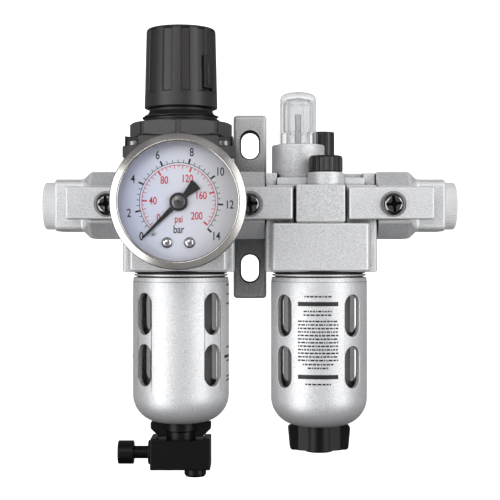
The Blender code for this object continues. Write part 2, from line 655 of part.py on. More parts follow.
def make_bowl(prefix, centre_x, bottom):
    """Make a clear bowl, its seal ring and the windowed metal guard that screws it on."""
    drop = bottom - FILTER_GUARD_BOTTOM
    corner = -68.8 + drop
    outer = [(11.9, -10.4), (11.9, -14.3), (14.8, -14.3), (14.8, -15.9), (13.0, -15.9)]
    outer += arc((5.0, corner), 8.0, 0, -90, 3)
    inner = arc((5.0, corner), 6.3, -90, 0, 3) + [(11.3, -10.4)]
    floor = corner - 8.0
    profile = outer + [(3.5, floor), (3.5, floor + 1.7)] + inner
    bowl = lathe(f"{prefix}_bowl", profile, at(0, 0, centre_x), steps=36)
    finish(bowl, "clear_polycarbonate", at(0, 0, centre_x, -14.3))
    seal = tube(f"{prefix}_bowl_seal", 12.2, 13.1, -13.9, -12.2, at(0, 0, centre_x), steps=36)
    finish(seal, "rubber", at(0, 0, centre_x, -13.9))

    guard_outline = [(GUARD_NECK_R, -16.2), (GUARD_NECK_R, GUARD_SHOULDER), (GUARD_R, GUARD_SHOULDER)]
    guard_outline += arc((GUARD_R - GUARD_CORNER, corner), GUARD_CORNER, 0, -90, 4)
    guard_outline += [(3.8, bottom), (3.8, bottom + 1.6)]
    guard_outline += arc((GUARD_R - GUARD_CORNER, corner), GUARD_CORNER - 1.6, -90, 0, 4)
    guard_outline += [(15.9, -30.5), (13.4, -28.0), (13.4, -16.2)]
    guard = lathe(f"{prefix}_bowl_guard", guard_outline, at(0, 0, centre_x), steps=44)
    for row in WINDOW_ROWS:
        outline = stadium(WINDOW_WIDTH, WINDOW_HEIGHT, (centre_x, row + drop / 2), 3)
        for angle in (45, 135, 225, 315):
            cutter = prism("window", outline, AXIS_Y - 22, AXIS_Y - 13, "Y")
            cut(guard, turned(cutter, angle, at(0, 0, centre_x)))
    finish(guard, "cast_aluminium", at(0, 0, centre_x, -16.2))


def make_filter_drain():
    """Make the winged nut, the valve block with its outlet and the side push button."""
    x = REGULATOR_X
    pivot = at(0, 0, x, -79.3)
    spindle = [
        (0, -73.0), (4.6, -73.0), (4.6, -74.4), (3.2, -74.4), (3.2, -79.3), (4.6, -79.3),
        (4.6, -84.5), (0, -84.5),
    ]
    drain = lathe("drain_body", spindle, at(0, 0, x), steps=24)
    wide, deep = 10.9, 7.0
    join(
        drain,
        block("valve_block", (x - wide, x + wide), (AXIS_Y - deep, AXIS_Y + deep), (-97.0, -83.8), 0.6),
        pin("side_boss", 4.4, x - 11.8, x - 10.0, (0, AXIS_Y, -90.3), "X", 24),
        pin("nub", 4.0, -99.2, -96.5, at(5.2, 0, x), steps=24),
    )
    cut(
        drain,
        pin("stem_bore", 2.7, x - 13, x + 1.0, (0, AXIS_Y, -90.3), "X", 16),
        pin("drain_hole", 1.9, -100, -89.3, at(5.2, 0, x), steps=12),
        pin("cross_hole", 1.2, x - 0.5, x + 5.2, (0, AXIS_Y, -90.6), "X", 10),
        pin("down_hole", 1.5, -89.9, -72.0, at(0, 0, x), steps=12),
    )
    finish(drain, "near_black", pivot)
    wings = [(-11.0, -79.4), (11.0, -79.4), (11.0, -81.5), (8.2, -83.4), (-8.2, -83.4), (-11.0, -81.5)]
    placed = [(x + px, pz) for px, pz in wings]
    nut = prism("drain_nut", placed, AXIS_Y - 2.4, AXIS_Y + 2.4, "Y")
    join(nut, pin("collar", 6.4, -82.5, -79.4, at(0, 0, x), steps=24))
    cut(nut, pin("bore", 4.9, -85, -78, at(0, 0, x), steps=24))
    finish(nut, "near_black", pivot)
    button = [
        (0, x - 22.9), (3.9, x - 22.9), (4.25, x - 22.4), (4.25, x - 17.2), (2.3, x - 17.2),
        (2.3, x - 3.0), (0, x - 3.0),
    ]
    item = lathe("drain_button", button, (0, AXIS_Y, -90.3), "X", 24)
    finish(item, "near_black", (x - 17.2, AXIS_Y, -90.3))


def make_oil_drain():
    """Make the winged drain knob under the oil bowl."""
    x = LUBRICATOR_X
    hub = [
        (0, -74.0), (4.6, -74.0), (4.6, -75.6), (3.2, -75.6), (3.2, -80.5), (4.85, -80.5),
        (4.85, -89.6), (4.5, -89.9), (0, -89.9),
    ]
    knob = lathe("oil_drain_knob", hub, at(0, 0, x), steps=24)
    wing = [(-11.4, -80.5), (11.4, -80.5), (10.6, -88.4), (9.8, -89.2), (-9.8, -89.2), (-10.6, -88.4)]
    join(knob, prism("wings", [(x + px, pz) for px, pz in wing], AXIS_Y - 2.5, AXIS_Y + 2.5, "Y"))
    finish(knob, "near_black", at(0, 0, x, -80.5))


def make_lubricator_head():
    """Make the sight dome, drip tube, rate knob, filler plug, siphon tube and flow damper."""
    x = LUBRICATOR_X
    dome = [
        (0, 40.9), (4.6, 40.9), (6.1, 40.3), (6.7, 39.3), (6.7, 26.1), (7.2, 26.1), (7.2, 22.0),
        (5.6, 22.0), (5.6, 16.5), (4.3, 16.5), (4.3, 26.0), (5.4, 27.0), (5.4, 38.6), (0, 39.2),
    ]
    finish(lathe("sight_dome", dome, at(DOME_X, 0, x), steps=32), "clear_polycarbonate")
    finish(tube("drip_tube", 0.8, 1.5, 15.8, 33.0, at(DOME_X, 0, x), steps=14), "brass")
    rate = [
        (0, 3.0), (0.8, 3.0), (2.3, 5.0), (2.3, 11.6), (4.1, 11.6), (4.1, 26.9), (3.6, 27.5), (0, 27.5),
    ]
    point = at(RATE_X, RATE_Y, x)
    finish(lathe("oil_rate_knob", rate, point, steps=20), "near_black", at(RATE_X, RATE_Y, x, 11.6))
    cap = [
        (0, 3.5), (3.9, 3.5), (3.9, 11.4), (6.0, 11.4), (6.0, 16.4), (5.4, 17.0), (0, 17.0),
    ]
    point = at(FILLER_X, FILLER_Y, x)
    finish(lathe("filler_plug", cap, point, steps=24), "near_black", at(FILLER_X, FILLER_Y, x, 11.4))
    seal = tube("filler_seal", 4.2, 5.1, 10.5, 11.1, point, steps=20)
    finish(seal, "rubber", at(FILLER_X, FILLER_Y, x, 10.5))
    finish(tube("siphon_tube", 0.7, 1.3, -72.0, -6.0, at(-6.4, 5.9, x), steps=12), "clear_polycarbonate")
    flap = pin("flow_damper", 3.4, x - 0.4, x + 0.4, (0, AXIS_Y, PORT_Z), "X", 20)
    finish(flap, "rubber", at(0, 0, x, PORT_Z + 3.4))


clear_scene()
make_bracket()
make_regulator_body()
make_lubricator_body()
make_adapter("inlet_adapter", -1)
make_adapter("outlet_adapter", 1)
make_port_plug("inlet_plug", -1)
make_port_plug("outlet_plug", 1)
make_clamps()
make_bonnet()
make_pressure_setting()
make_valve_and_filter()
make_gauge()
make_bowl("filter", REGULATOR_X, FILTER_GUARD_BOTTOM)
make_bowl("oil", LUBRICATOR_X, OIL_GUARD_BOTTOM)
make_filter_drain()
make_oil_drain()
make_lubricator_head()
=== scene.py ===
"""Visual model of a filter regulator and lubricator unit on its wall bracket.

Shapes are drawn in millimetres and written in metres.  Places come from the CAD frame: each
class reads the boxes of the CAD nodes that its pieces stand for.
"""

import json
import logging
import math
from collections.abc import Callable
from dataclasses import dataclass, field
from enum import Enum

import bmesh
import bpy
from mathutils import Matrix, Vector

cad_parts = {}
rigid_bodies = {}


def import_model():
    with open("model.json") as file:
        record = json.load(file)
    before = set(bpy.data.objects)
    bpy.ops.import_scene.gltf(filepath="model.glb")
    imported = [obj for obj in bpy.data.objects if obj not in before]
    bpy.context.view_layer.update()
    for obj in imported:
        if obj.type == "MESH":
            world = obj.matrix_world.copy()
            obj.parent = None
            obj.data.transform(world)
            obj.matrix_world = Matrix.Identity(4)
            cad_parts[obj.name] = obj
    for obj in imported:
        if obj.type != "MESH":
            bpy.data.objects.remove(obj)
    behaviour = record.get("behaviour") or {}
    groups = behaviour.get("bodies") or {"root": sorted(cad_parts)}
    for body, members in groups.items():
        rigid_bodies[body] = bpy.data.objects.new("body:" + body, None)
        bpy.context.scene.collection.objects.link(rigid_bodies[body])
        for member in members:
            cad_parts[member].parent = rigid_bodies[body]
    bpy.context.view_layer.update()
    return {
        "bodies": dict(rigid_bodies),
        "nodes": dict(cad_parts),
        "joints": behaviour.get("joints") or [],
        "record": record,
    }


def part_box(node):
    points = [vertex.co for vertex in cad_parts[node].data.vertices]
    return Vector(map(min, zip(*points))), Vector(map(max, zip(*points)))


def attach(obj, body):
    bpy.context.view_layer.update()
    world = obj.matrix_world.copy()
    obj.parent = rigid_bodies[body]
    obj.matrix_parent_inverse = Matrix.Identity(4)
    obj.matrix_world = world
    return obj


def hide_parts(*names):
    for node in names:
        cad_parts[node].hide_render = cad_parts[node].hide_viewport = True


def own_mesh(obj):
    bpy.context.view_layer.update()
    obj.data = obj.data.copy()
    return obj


LOG = logging.getLogger("air_unit")
MM = 0.001
Outline = list[tuple[float, float]]
Reshape = Callable[[float, float, float], float]
FaceTest = Callable[[Vector, Vector], bool]
Pick = Callable[[Vector], bool]


class Axis(Enum):
    """The direction that a turned or extruded shape runs along."""

    X = "X"
    Y = "Y"
    Z = "Z"

    def turn(self) -> Matrix:
        """Return the rotation that brings local +Z onto this axis."""
        if self is Axis.X:
            return Matrix.Rotation(math.radians(90), 4, "Y")
        if self is Axis.Y:
            return Matrix.Rotation(math.radians(-90), 4, "X")
        return Matrix.Identity(4)

    def point(self, first: float, second: float, along: float) -> tuple[float, float, float]:
        """Place a flat outline's point: (y, z) along X, (x, z) along Y, (x, y) along Z."""
        if self is Axis.X:
            return (along, first, second)
        if self is Axis.Y:
            return (first, along, second)
        return (first, second, along)


class Side(Enum):
    """The two ends of the unit along X."""

    INLET = -1
    OUTLET = 1


@dataclass(frozen=True)
class Extent:
    """A CAD node's box in millimetres."""

    low: Vector
    high: Vector

    @classmethod
    def of(cls, node: str) -> "Extent":
        """Read the box of one CAD node."""
        low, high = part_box(node)
        return cls(low / MM, high / MM)

    @property
    def middle(self) -> Vector:
        """Return the box's centre."""
        return (self.low + self.high) / 2

    @property
    def size(self) -> Vector:
        """Return the box's three sides."""
        return self.high - self.low


# ---------------------------------------------------------------------------------------------
# Finishes


class ShaderGraph:
    """A new material's node tree, with short calls to add and join nodes."""

    def __init__(self, name: str) -> None:
        """Start a material that holds one Principled shader.

        Args:
            name: The material's name.
        """
        self.material = bpy.data.materials.new(name)
        self.material.use_nodes = True
        self.tree = self.material.node_tree
        self.shader = self.tree.nodes["Principled BSDF"]
        self.output = self.tree.nodes["Material Output"]

    def add(self, kind: str, settings: dict | None = None, **sockets: object) -> bpy.types.Node:
        """Add a node.

        Args:
            kind: The node's type name, without the ShaderNode prefix.
            settings: Properties of the node itself.
            sockets: Input values by name, with underscores for spaces.

        Returns:
            The new node.
        """
        node = self.tree.nodes.new("ShaderNode" + kind)
        for key, value in (settings or {}).items():
            setattr(node, key, value)
        for key, value in sockets.items():
            node.inputs[key.replace("_", " ")].default_value = value
        return node

    def join(self, source: bpy.types.NodeSocket, target: bpy.types.NodeSocket) -> None:
        """Link an output to an input."""
        self.tree.links.new(source, target)

    def place(self) -> bpy.types.NodeSocket:
        """Return the object-space position, in metres."""
        return self.add("TexCoord").outputs["Object"]

    def noise(self, size_mm: float, detail: float = 2.0, roughness: float = 0.5) -> bpy.types.NodeSocket:
        """Return a noise value whose features are about size_mm across."""
        node = self.add("TexNoise", Scale=1.0 / (size_mm * MM), Detail=detail, Roughness=roughness)
        self.join(self.place(), node.inputs["Vector"])
        return node.outputs["Fac"]

    def ramp(self, source: bpy.types.NodeSocket, stops: list[tuple[float, tuple]]) -> bpy.types.NodeSocket:
        """Map a value to colours.

        Args:
            source: The value to map.
            stops: (position, colour) pairs in rising order.

        Returns:
            The colour output.
        """
        node = self.add("ValToRGB")
        band = node.color_ramp
        band.elements[0].position, band.elements[0].color = stops[0]
        band.elements[1].position, band.elements[1].color = stops[-1]
        for position, color in stops[1:-1]:
            band.elements.new(position).color = color
        self.join(source, node.inputs["Fac"])
        return node.outputs["Color"]

    def blend(self, first: object, second: object, factor: object) -> bpy.types.NodeSocket:
        """Mix two colours, each given as a colour or a socket.

        Args:
            first: The colour at factor 0.
            second: The colour at factor 1.
            factor: The share of the second colour.

        Returns:
            The mixed colour.
        """
        node = self.add("Mix", {"data_type": "RGBA"})
        for socket, value in ((node.inputs[0], factor), (node.inputs[6], first), (node.inputs[7], second)):
            if isinstance(value, bpy.types.NodeSocket):
                self.join(value, socket)
            else:
                socket.default_value = value
        return node.outputs[2]

    def multiply(self, first: bpy.types.NodeSocket, second: bpy.types.NodeSocket) -> bpy.types.NodeSocket:
        """Multiply two colours."""
        node = self.add("Mix", {"data_type": "RGBA", "blend_type": "MULTIPLY"})
        node.inputs[0].default_value = 1.0
        self.join(first, node.inputs[6])
        self.join(second, node.inputs[7])
        return node.outputs[2]

    def crevices(self, color: bpy.types.NodeSocket, reach_mm: float,
                 open_at: float = 0.72) -> bpy.types.NodeSocket:
        """Paint shade into a colour where other surfaces are closer than reach_mm, as in gaps, seams and
        recesses.
        """
        near = self.add("AmbientOcclusion", {"samples": 6}, Distance=reach_mm * MM)
        shadow = self.ramp(near.outputs["AO"], [(0.36, (0.05, 0.046, 0.046, 1)), (open_at, (1, 1, 1, 1))])
        return self.multiply(color, shadow)

    def marked(self, name: str, strength: float) -> bpy.types.NodeSocket:
        """Return how much a face is marked, up to strength."""
        mark = self.add("Attribute", {"attribute_name": name}).outputs["Fac"]
        return self.ramp(mark, [(0.0, (0, 0, 0, 1)), (1.0, (strength, strength, strength, 1))])

    def stained(self, color: bpy.types.NodeSocket) -> bpy.types.NodeSocket:
        """Blacken the faces that are marked for painted shade, in recesses, slot rims and grooves where shade
        falls.
        """
        return self.blend(color, (0.008, 0.0075, 0.0075, 1), self.marked("stained", 0.96))

    def bump(self, source: bpy.types.NodeSocket, depth_mm: float, strength: float) -> None:
        """Raise the surface by a value, up to depth_mm."""
        node = self.add("Bump", Strength=strength, Distance=depth_mm * MM)
        self.join(source, node.inputs["Height"])
        self.join(node.outputs["Normal"], self.shader.inputs["Normal"])


def shade(color: tuple[float, float, float], factor: float) -> tuple[float, float, float, float]:
    """Return a colour made lighter or darker by a factor, with full alpha."""
    return (*(min(1.0, channel * factor) for channel in color), 1.0)


@dataclass(frozen=True)
class Finish:
    """A surface that a piece can be given."""

    name: str
    slot: str
    color: tuple[float, float, float]
    roughness: float = 0.5

    def material(self) -> bpy.types.Material:
        """Return this finish's material, made once.

        Returns:
            The finished material.
        """
        found = bpy.data.materials.get(self.name)
        if found is None:
            graph = ShaderGraph(self.name)
            graph.shader.inputs["Base Color"].default_value = (*self.color, 1.0)
            graph.shader.inputs["Roughness"].default_value = self.roughness
            self.dress(graph)
            found = graph.material
        return found

    def dress(self, graph: ShaderGraph) -> None:
        """Add this finish's own detail to its node tree."""


@dataclass(frozen=True)
class CastMetal(Finish):
    """Bead-blasted die-cast aluminium with a fine bright grain."""

    grain_mm: float = 0.36
    metallic: float = 0.5
    # Reach of the painted shade in crevices.
    crevice_mm: float = 1.7
    contrast: float = 0.27
    # Painted shade by height: (place, factor) stops of a ramp along Z that darkens the colour; none when
    # empty.
    tones: tuple[tuple[float, float], ...] = ()

    def dress(self, graph: ShaderGraph) -> None:
        """Add blasted grain, faint mottling, a painted highlight on rounded edges, painted shade by height
        where given, painted shade on marked faces and in crevices, and a light bump.

        Args:
            graph: The material's node graph.
        """
        grain = graph.noise(self.grain_mm, 3.0, 0.65)
        speckle = graph.ramp(grain, [(0.34, shade(self.color, 1 - self.contrast)),
                                     (0.50, shade(self.color, 1.0)),
                                     (0.66, shade(self.color, 1 + self.contrast))])
        cloud = graph.ramp(graph.noise(4.0), [(0.35, (0.46, 0.46, 0.46, 1)), (0.65, (0.54, 0.54, 0.54, 1))])
        mixed = graph.add("Mix", {"data_type": "RGBA", "blend_type": "OVERLAY"})
        mixed.inputs[0].default_value = 0.6
        graph.join(speckle, mixed.inputs[6])
        graph.join(cloud, mixed.inputs[7])
        # Painted highlight: faces marked on rounded edges are blended towards near-white.
        grain_and_painted_light = graph.blend(mixed.outputs[2], (0.96, 0.965, 0.97, 1), graph.marked("painted_highlight", 0.85))
        # Painted shade by height: the colour is multiplied by a ramp along Z.
        if self.tones:
            split = graph.add("SeparateXYZ")
            graph.join(graph.place(), split.inputs[0])
            height = graph.add("MapRange", From_Min=-0.0326, From_Max=0.0326)
            graph.join(split.outputs["Z"], height.inputs["Value"])
            grain_and_painted_light = graph.multiply(grain_and_painted_light, graph.ramp(height.outputs["Result"],
                                                   [(spot, (tone, tone, tone, 1))
                                                    for spot, tone in self.tones]))
        # Painted shade: marked faces are blackened and crevices darkened.
        grain_and_painted_light = graph.crevices(graph.stained(grain_and_painted_light), self.crevice_mm)
        graph.join(grain_and_painted_light, graph.shader.inputs["Base Color"])
        graph.shader.inputs["Metallic"].default_value = self.metallic
        rough = graph.add("MapRange", To_Min=self.roughness - 0.08, To_Max=self.roughness + 0.1)
        graph.join(graph.noise(0.5), rough.inputs["Value"])
        graph.join(rough.outputs["Result"], graph.shader.inputs["Roughness"])
        graph.bump(grain, 0.07, 0.6)


@dataclass(frozen=True)
class MouldedPlastic(Finish):
    """Glass-filled moulded plastic with a fine spark-eroded texture."""

    grain_mm: float = 0.25
    depth_mm: float = 0.03
    gloss: float = 0.5
    contrast: float = 0.22

    def dress(self, graph: ShaderGraph) -> None:
        """Add texture, a slight change of tone, painted shade on marked faces and soft sheen."""
        grain = graph.noise(self.grain_mm, 2.0, 0.6)
        tone = graph.ramp(grain, [(0.3, shade(self.color, 1 - self.contrast)),
                                  (0.7, shade(self.color, 1 + self.contrast))])
        graph.join(graph.stained(tone), graph.shader.inputs["Base Color"])
        graph.shader.inputs["Specular IOR Level"].default_value = self.gloss
        graph.bump(grain, self.depth_mm, 0.45)


@dataclass(frozen=True)
class PlainMetal(Finish):
    """Smooth plated, oxided or turned metal."""

    streak: float = 0.03

    def dress(self, graph: ShaderGraph) -> None:
        """Make it fully metallic with slightly uneven polish, painted shade on marked faces and painted shade
        in crevices.

        Args:
            graph: The material's node graph.
        """
        graph.shader.inputs["Metallic"].default_value = 1.0
        even = graph.ramp(graph.noise(2.0), [(0.3, shade(self.color, 0.96)), (0.7, shade(self.color, 1.04))])
        graph.join(graph.crevices(graph.stained(even), 0.8, 0.6), graph.shader.inputs["Base Color"])
        rough = graph.add("MapRange", To_Min=max(0.01, self.roughness - self.streak),
                          To_Max=self.roughness + self.streak)
        graph.join(graph.noise(1.2, 3.0), rough.inputs["Value"])
        graph.join(rough.outputs["Result"], graph.shader.inputs["Roughness"])


@dataclass(frozen=True)
class ClearPlastic(Finish):
    """Clear moulding or glass: light passes straight through and its edges reflect."""

    tint: float = 0.12
    ior: float = 1.5
    gloss: float = 0.5
    rim: float = 0.85

    def dress(self, graph: ShaderGraph) -> None:
        """Mix a see-through surface with a glossy one by angle.

        Args:
            graph: The material's node graph.
        """
        clear = graph.add("BsdfTransparent", Color=(*self.color, 1.0))
        edge = graph.add("LayerWeight", Blend=0.25)
        amount = graph.add("MapRange", To_Min=self.tint, To_Max=self.rim)
        graph.join(edge.outputs["Facing"], amount.inputs["Value"])
        mix = graph.add("MixShader")
        graph.join(amount.outputs["Result"], mix.inputs[0])
        graph.join(clear.outputs[0], mix.inputs[1])
        graph.join(graph.shader.outputs[0], mix.inputs[2])
        graph.join(mix.outputs[0], graph.output.inputs["Surface"])
        graph.shader.inputs["IOR"].default_value = self.ior
        graph.shader.inputs["Specular IOR Level"].default_value = self.gloss


@dataclass(frozen=True)
class DialFace(Finish):
    """A printed white dial with painted light and shade across it: cool and darker at the left, lightest in
    the middle, warmer and darker at the right.
    """

    def dress(self, graph: ShaderGraph) -> None:
        """Paint light and shade across the dial as a slow change of tint along X, and add a little grain.

        Args:
            graph: The material's node graph.
        """
        split = graph.add("SeparateXYZ")
        graph.join(graph.place(), split.inputs[0])
        across = graph.add("MapRange", From_Min=-0.044, From_Max=-0.006)
        graph.join(split.outputs["X"], across.inputs["Value"])
        # Painted light and shade: bluish and darker at the left, lightest in the middle, grey and darker at
        # the right.
        tint = graph.ramp(across.outputs["Result"],
                          [(0.0, (0.74, 0.79, 0.99, 1)), (0.5, (0.88, 0.905, 0.99, 1)),
                                                     (1.0, (0.80, 0.80, 0.81, 1))])
        graph.join(tint, graph.shader.inputs["Base Color"])
        graph.bump(graph.noise(0.4), 0.01, 0.2)


class Palette:
    """Every finish of the unit."""

    CASTING = CastMetal("blasted_aluminium", "cast_aluminium", (0.80, 0.808, 0.817), 0.54)
    GUARD = CastMetal("guard_aluminium", "cast_aluminium", (0.81, 0.817, 0.828), 0.50, 0.30, 0.52, 0.6)
    # The bracket's height ramp is painted shade: the plate is darkest across its middle, less dark at the
    # bottom and lightest at the top.
    BRACKET = CastMetal("bracket_aluminium", "cast_aluminium", (0.90, 0.89, 0.89), 0.5, 0.42, 0.5, 1.2, 0.7,
                        ((0.0, 0.80), (0.3, 0.46), (0.68, 0.48), (0.74, 0.70), (0.82, 0.92), (0.98, 1.0)))
    KNOB = MouldedPlastic("knob_nylon", "black_nylon", (0.030, 0.027, 0.026), 0.42)
    HOUSING = MouldedPlastic("housing_nylon", "charcoal_nylon", (0.072, 0.068, 0.068), 0.55)
    DRAIN = MouldedPlastic("drain_nylon", "near_black", (0.0035, 0.003, 0.003), 0.4, 0.25, 0.03, 0.22)
    CAP = MouldedPlastic("cap_nylon", "near_black", (0.022, 0.020, 0.020), 0.34)
    # Near-black nylon for inner parts; on the threaded neck it stands for painted shade under the knob.
    INNER = MouldedPlastic("inner_nylon", "black_nylon", (0.010, 0.009, 0.009), 0.5)
    OXIDE = PlainMetal("black_oxide", "black_steel", (0.20, 0.197, 0.20), 0.17)
    DARK_STEEL = PlainMetal("darkened_steel", "black_steel", (0.20, 0.19, 0.19), 0.3)
    ZINC = PlainMetal("zinc_plate", "plated_steel", (0.62, 0.61, 0.61), 0.2)
    CHROME = PlainMetal("polished_chrome", "chrome", (0.50, 0.48, 0.46), 0.22, 0.02)
    NICKEL = PlainMetal("nickel_plate", "brass", (0.86, 0.85, 0.83), 0.6)
    BRASS = PlainMetal("turned_brass", "brass", (0.72, 0.53, 0.27), 0.26)
    BOWL = ClearPlastic("bowl_polycarbonate", "clear_polycarbonate", (0.50, 0.49, 0.49), 0.45, 0.24, 1.58,
                        0.1, 0.3)
    DOME = ClearPlastic("dome_polycarbonate", "clear_polycarbonate", (0.88, 0.885, 0.892), 0.06, 0.10, 1.58,
                        0.8)
    LENS = ClearPlastic("lens_glass", "lens", (0.99, 0.99, 0.995), 0.03, 0.02, 1.5)
    # The dial's finish paints light and shade across it along X.
    DIAL = DialFace("dial_face_painted_light", "dial_white", (0.8, 0.81, 0.88), 0.45)
    INK = MouldedPlastic("black_print", "near_black", (0.010, 0.010, 0.012), 0.5, 0.3, 0.002)
    RED = MouldedPlastic("red_print", "dial_white", (0.70, 0.030, 0.045), 0.5, 0.3, 0.002)
    RUBBER = MouldedPlastic("nitrile_rubber", "rubber", (0.018, 0.018, 0.018), 0.65)
    SINTER = MouldedPlastic("sintered_filter", "filter_white", (0.78, 0.77, 0.72), 0.85, 0.4, 0.08)
    PLUG = MouldedPlastic("plug_moulding", "milky_plug", (0.93, 0.935, 0.945), 0.42, 0.5, 0.01, 0.5, 0.05)


# ---------------------------------------------------------------------------------------------
# Shape building


def arc(centre: tuple[float, float], radius: float, start: float, stop: float, steps: int = 8) -> Outline:
    """Return points on an arc between two angles in degrees."""
    angles = [math.radians(start + (stop - start) * k / steps) for k in range(steps + 1)]
    return [(centre[0] + radius * math.cos(a), centre[1] + radius * math.sin(a)) for a in angles]


def polygon(sides: int, radius: float, centre: tuple[float, float] = (0.0, 0.0),
            turn: float = 0.0) -> Outline:
    """Return the corners of a regular polygon."""
    return arc(centre, radius, turn, turn + 360 * (sides - 1) / sides, sides - 1)


def stadium(width: float, height: float, centre: tuple[float, float], steps: int = 16) -> Outline:
    """Return an upright slot with round ends."""
    radius = width / 2
    reach = height / 2 - radius
    top = arc((centre[0], centre[1] + reach), radius, 0, 180, steps)
    return top + arc((centre[0], centre[1] - reach), radius, 180, 360, steps)


def rounded(points: Outline, radius: float, steps: int = 4, closed: bool = True) -> Outline:
    """Round the corners of an outline.

    Args:
        points: The sharp outline.
        radius: The distance from each corner at which its curve starts, cut short on short sides.
        steps: Segments in each curve.
        closed: Whether the last point joins the first.

    Returns:
        The outline with curved corners.
    """
    result: Outline = []
    count = len(points)
    for index, point in enumerate(points):
        if not closed and index in (0, count - 1):
            result.append(point)
            continue
        corner = Vector(point)
        before = Vector(points[index - 1]) - corner
        after = Vector(points[(index + 1) % count]) - corner
        reach = min(radius, before.length * 0.45, after.length * 0.45)
        first = corner + before.normalized() * reach
        last = corner + after.normalized() * reach
        for step in range(steps + 1):
            t = step / steps
            spot = first * (1 - t) ** 2 + corner * 2 * t * (1 - t) + last * t ** 2
            result.append((spot.x, spot.y))
    return result


class Shape:
    """A closed mesh in millimetres, built up step by step."""

    def __init__(self, bm: bmesh.types.BMesh) -> None:
        """Keep a bmesh whose faces are turned outwards."""
        bmesh.ops.recalc_face_normals(bm, faces=bm.faces)
        self.bm = bm

    @classmethod
    def as_made(cls, bm: bmesh.types.BMesh) -> "Shape":
        """Keep a bmesh whose faces already point the right way."""
        shape = cls.__new__(cls)
        shape.bm = bm
        return shape

    @classmethod
    def lathe(cls, outline: Outline, centre: tuple[float, float, float] = (0, 0, 0), axis: Axis = Axis.Z,
              steps: int = 96, reshape: Reshape | None = None) -> "Shape":
        """Turn a (radius, height) outline about an axis.

        Args:
            outline: The profile; it starts and ends at radius 0, or it closes on itself.
            centre: A point on the axis, from which heights are counted.
            axis: The axis' direction.
            steps: Segments round the circle.
            reshape: Gives a new radius from an angle in radians, a radius and a height.

        Returns:
            The turned shape.
        """
        bm = bmesh.new()
        rings = []
        for radius, height in outline:
            if radius < 1e-6:
                rings.append([bm.verts.new((0, 0, height))])
                continue
            ring = []
            for k in range(steps):
                angle = math.tau * k / steps
                reach = reshape(angle, radius, height) if reshape else radius
                ring.append(bm.verts.new((reach * math.cos(angle), reach * math.sin(angle), height)))
            rings.append(ring)
        pairs = list(zip(rings, rings[1:]))
        if outline[0][0] >= 1e-6:
            pairs.append((rings[-1], rings[0]))
        for lower, upper in pairs:
            for k in range(steps):
                following = (k + 1) % steps
                corners = [lower[k % len(lower)], lower[following % len(lower)],
                           upper[following % len(upper)], upper[k % len(upper)]]
                unique = list(dict.fromkeys(corners))
                if len(unique) > 2:
                    bm.faces.new(unique)
        bm.transform(Matrix.Translation(Vector(centre)) @ axis.turn())
        return cls(bm)

    @classmethod
    def pin(cls, radius: float, low: float, high: float, centre: tuple[float, float, float] = (0, 0, 0),
            axis: Axis = Axis.Z, steps: int = 64, edge: float = 0.0) -> "Shape":
        """Make a cylinder, with rounded rims when edge is given."""
        outline = [(0, low), (radius, low), (radius, high), (0, high)]
        if edge:
            outline = rounded(outline, edge, 4, closed=False)
        return cls.lathe(outline, centre, axis, steps)

    @classmethod
    def bore(cls, sections: list[tuple[float, float]], end: float, centre: tuple[float, float, float],
             axis: Axis = Axis.Z, steps: int = 64) -> "Shape":
        """Make a stepped cutter from (radius, start) sections that run on to end.

        Args:
            sections: Pairs of a radius and the depth where it starts.
            end: The depth where the last one ends.
            centre: A point on the axis.
            axis: The direction.
            steps: The number of sides.

        Returns:
            The closed cutter.
        """
        stops = [start for _, start in sections[1:]] + [end]
        outline = [(0.0, sections[0][1])]
        for (radius, start), stop in zip(sections, stops):
            outline += [(radius, start), (radius, stop)]
        return cls.lathe(outline + [(0.0, end)], centre, axis, steps)

    @classmethod
    def loft(cls, rings: list[list[tuple[float, float, float]]]) -> "Shape":
        """Join equal rings of points into a closed shape.

        Args:
            rings: Rings with the same number of points, in order.

        Returns:
            The closed shape.
        """
        bm = bmesh.new()
        loops = [[bm.verts.new(point) for point in ring] for ring in rings]
        for lower, upper in zip(loops, loops[1:]):
            for k in range(len(lower)):
                following = (k + 1) % len(lower)
                bm.faces.new((lower[k], lower[following], upper[following], upper[k]))
        bm.faces.new(loops[0])
        bm.faces.new(loops[-1])
        return cls(bm)

    @classmethod
    def prism(cls, outline: Outline, low: float, high: float, axis: Axis = Axis.Z) -> "Shape":
        """Extrude a flat outline along an axis."""
        return cls.loft([[axis.point(a, b, along) for a, b in outline] for along in (low, high)])

    @classmethod
    def block(cls, x_span: tuple, y_span: tuple, z_span: tuple, edge: float = 0.0,
              segments: int = 3) -> "Shape":
        """Make a box, with rounded edges when edge is given.

        Args:
            x_span: Its limits along X.
            y_span: Its limits along Y.
            z_span: Its limits along Z.
            edge: The width of its rounded edges.
            segments: The steps of the rounding.

        Returns:
            The block.
        """
        bm = bmesh.new()
        bmesh.ops.create_cube(bm, size=1.0)
        size = [high - low for low, high in (x_span, y_span, z_span)]
        middle = [(high + low) / 2 for low, high in (x_span, y_span, z_span)]
        bm.transform(Matrix.Translation(middle) @ Matrix.Diagonal((*size, 1.0)))
        if edge:
            bmesh.ops.bevel(bm, geom=list(bm.edges), offset=edge, segments=segments, affect="EDGES",
                            profile=0.5)
        return cls(bm)

    def moved(self, matrix: Matrix) -> "Shape":
        """Transform the shape in place."""
        self.bm.transform(matrix)
        return self

    def turned(self, degrees: float, centre: tuple[float, float, float], axis: Axis = Axis.Z) -> "Shape":
        """Turn the shape about a line through centre."""
        pivot = Matrix.Translation(Vector(centre))
        return self.moved(pivot @ Matrix.Rotation(math.radians(degrees), 4, axis.value) @ pivot.inverted())

    def join(self, *others: "Shape") -> "Shape":
        """Unite this shape with others."""
        return self._combine("UNION", others)

    def cut(self, *others: "Shape") -> "Shape":
        """Cut other shapes out of this one."""
        return self._combine("DIFFERENCE", others)

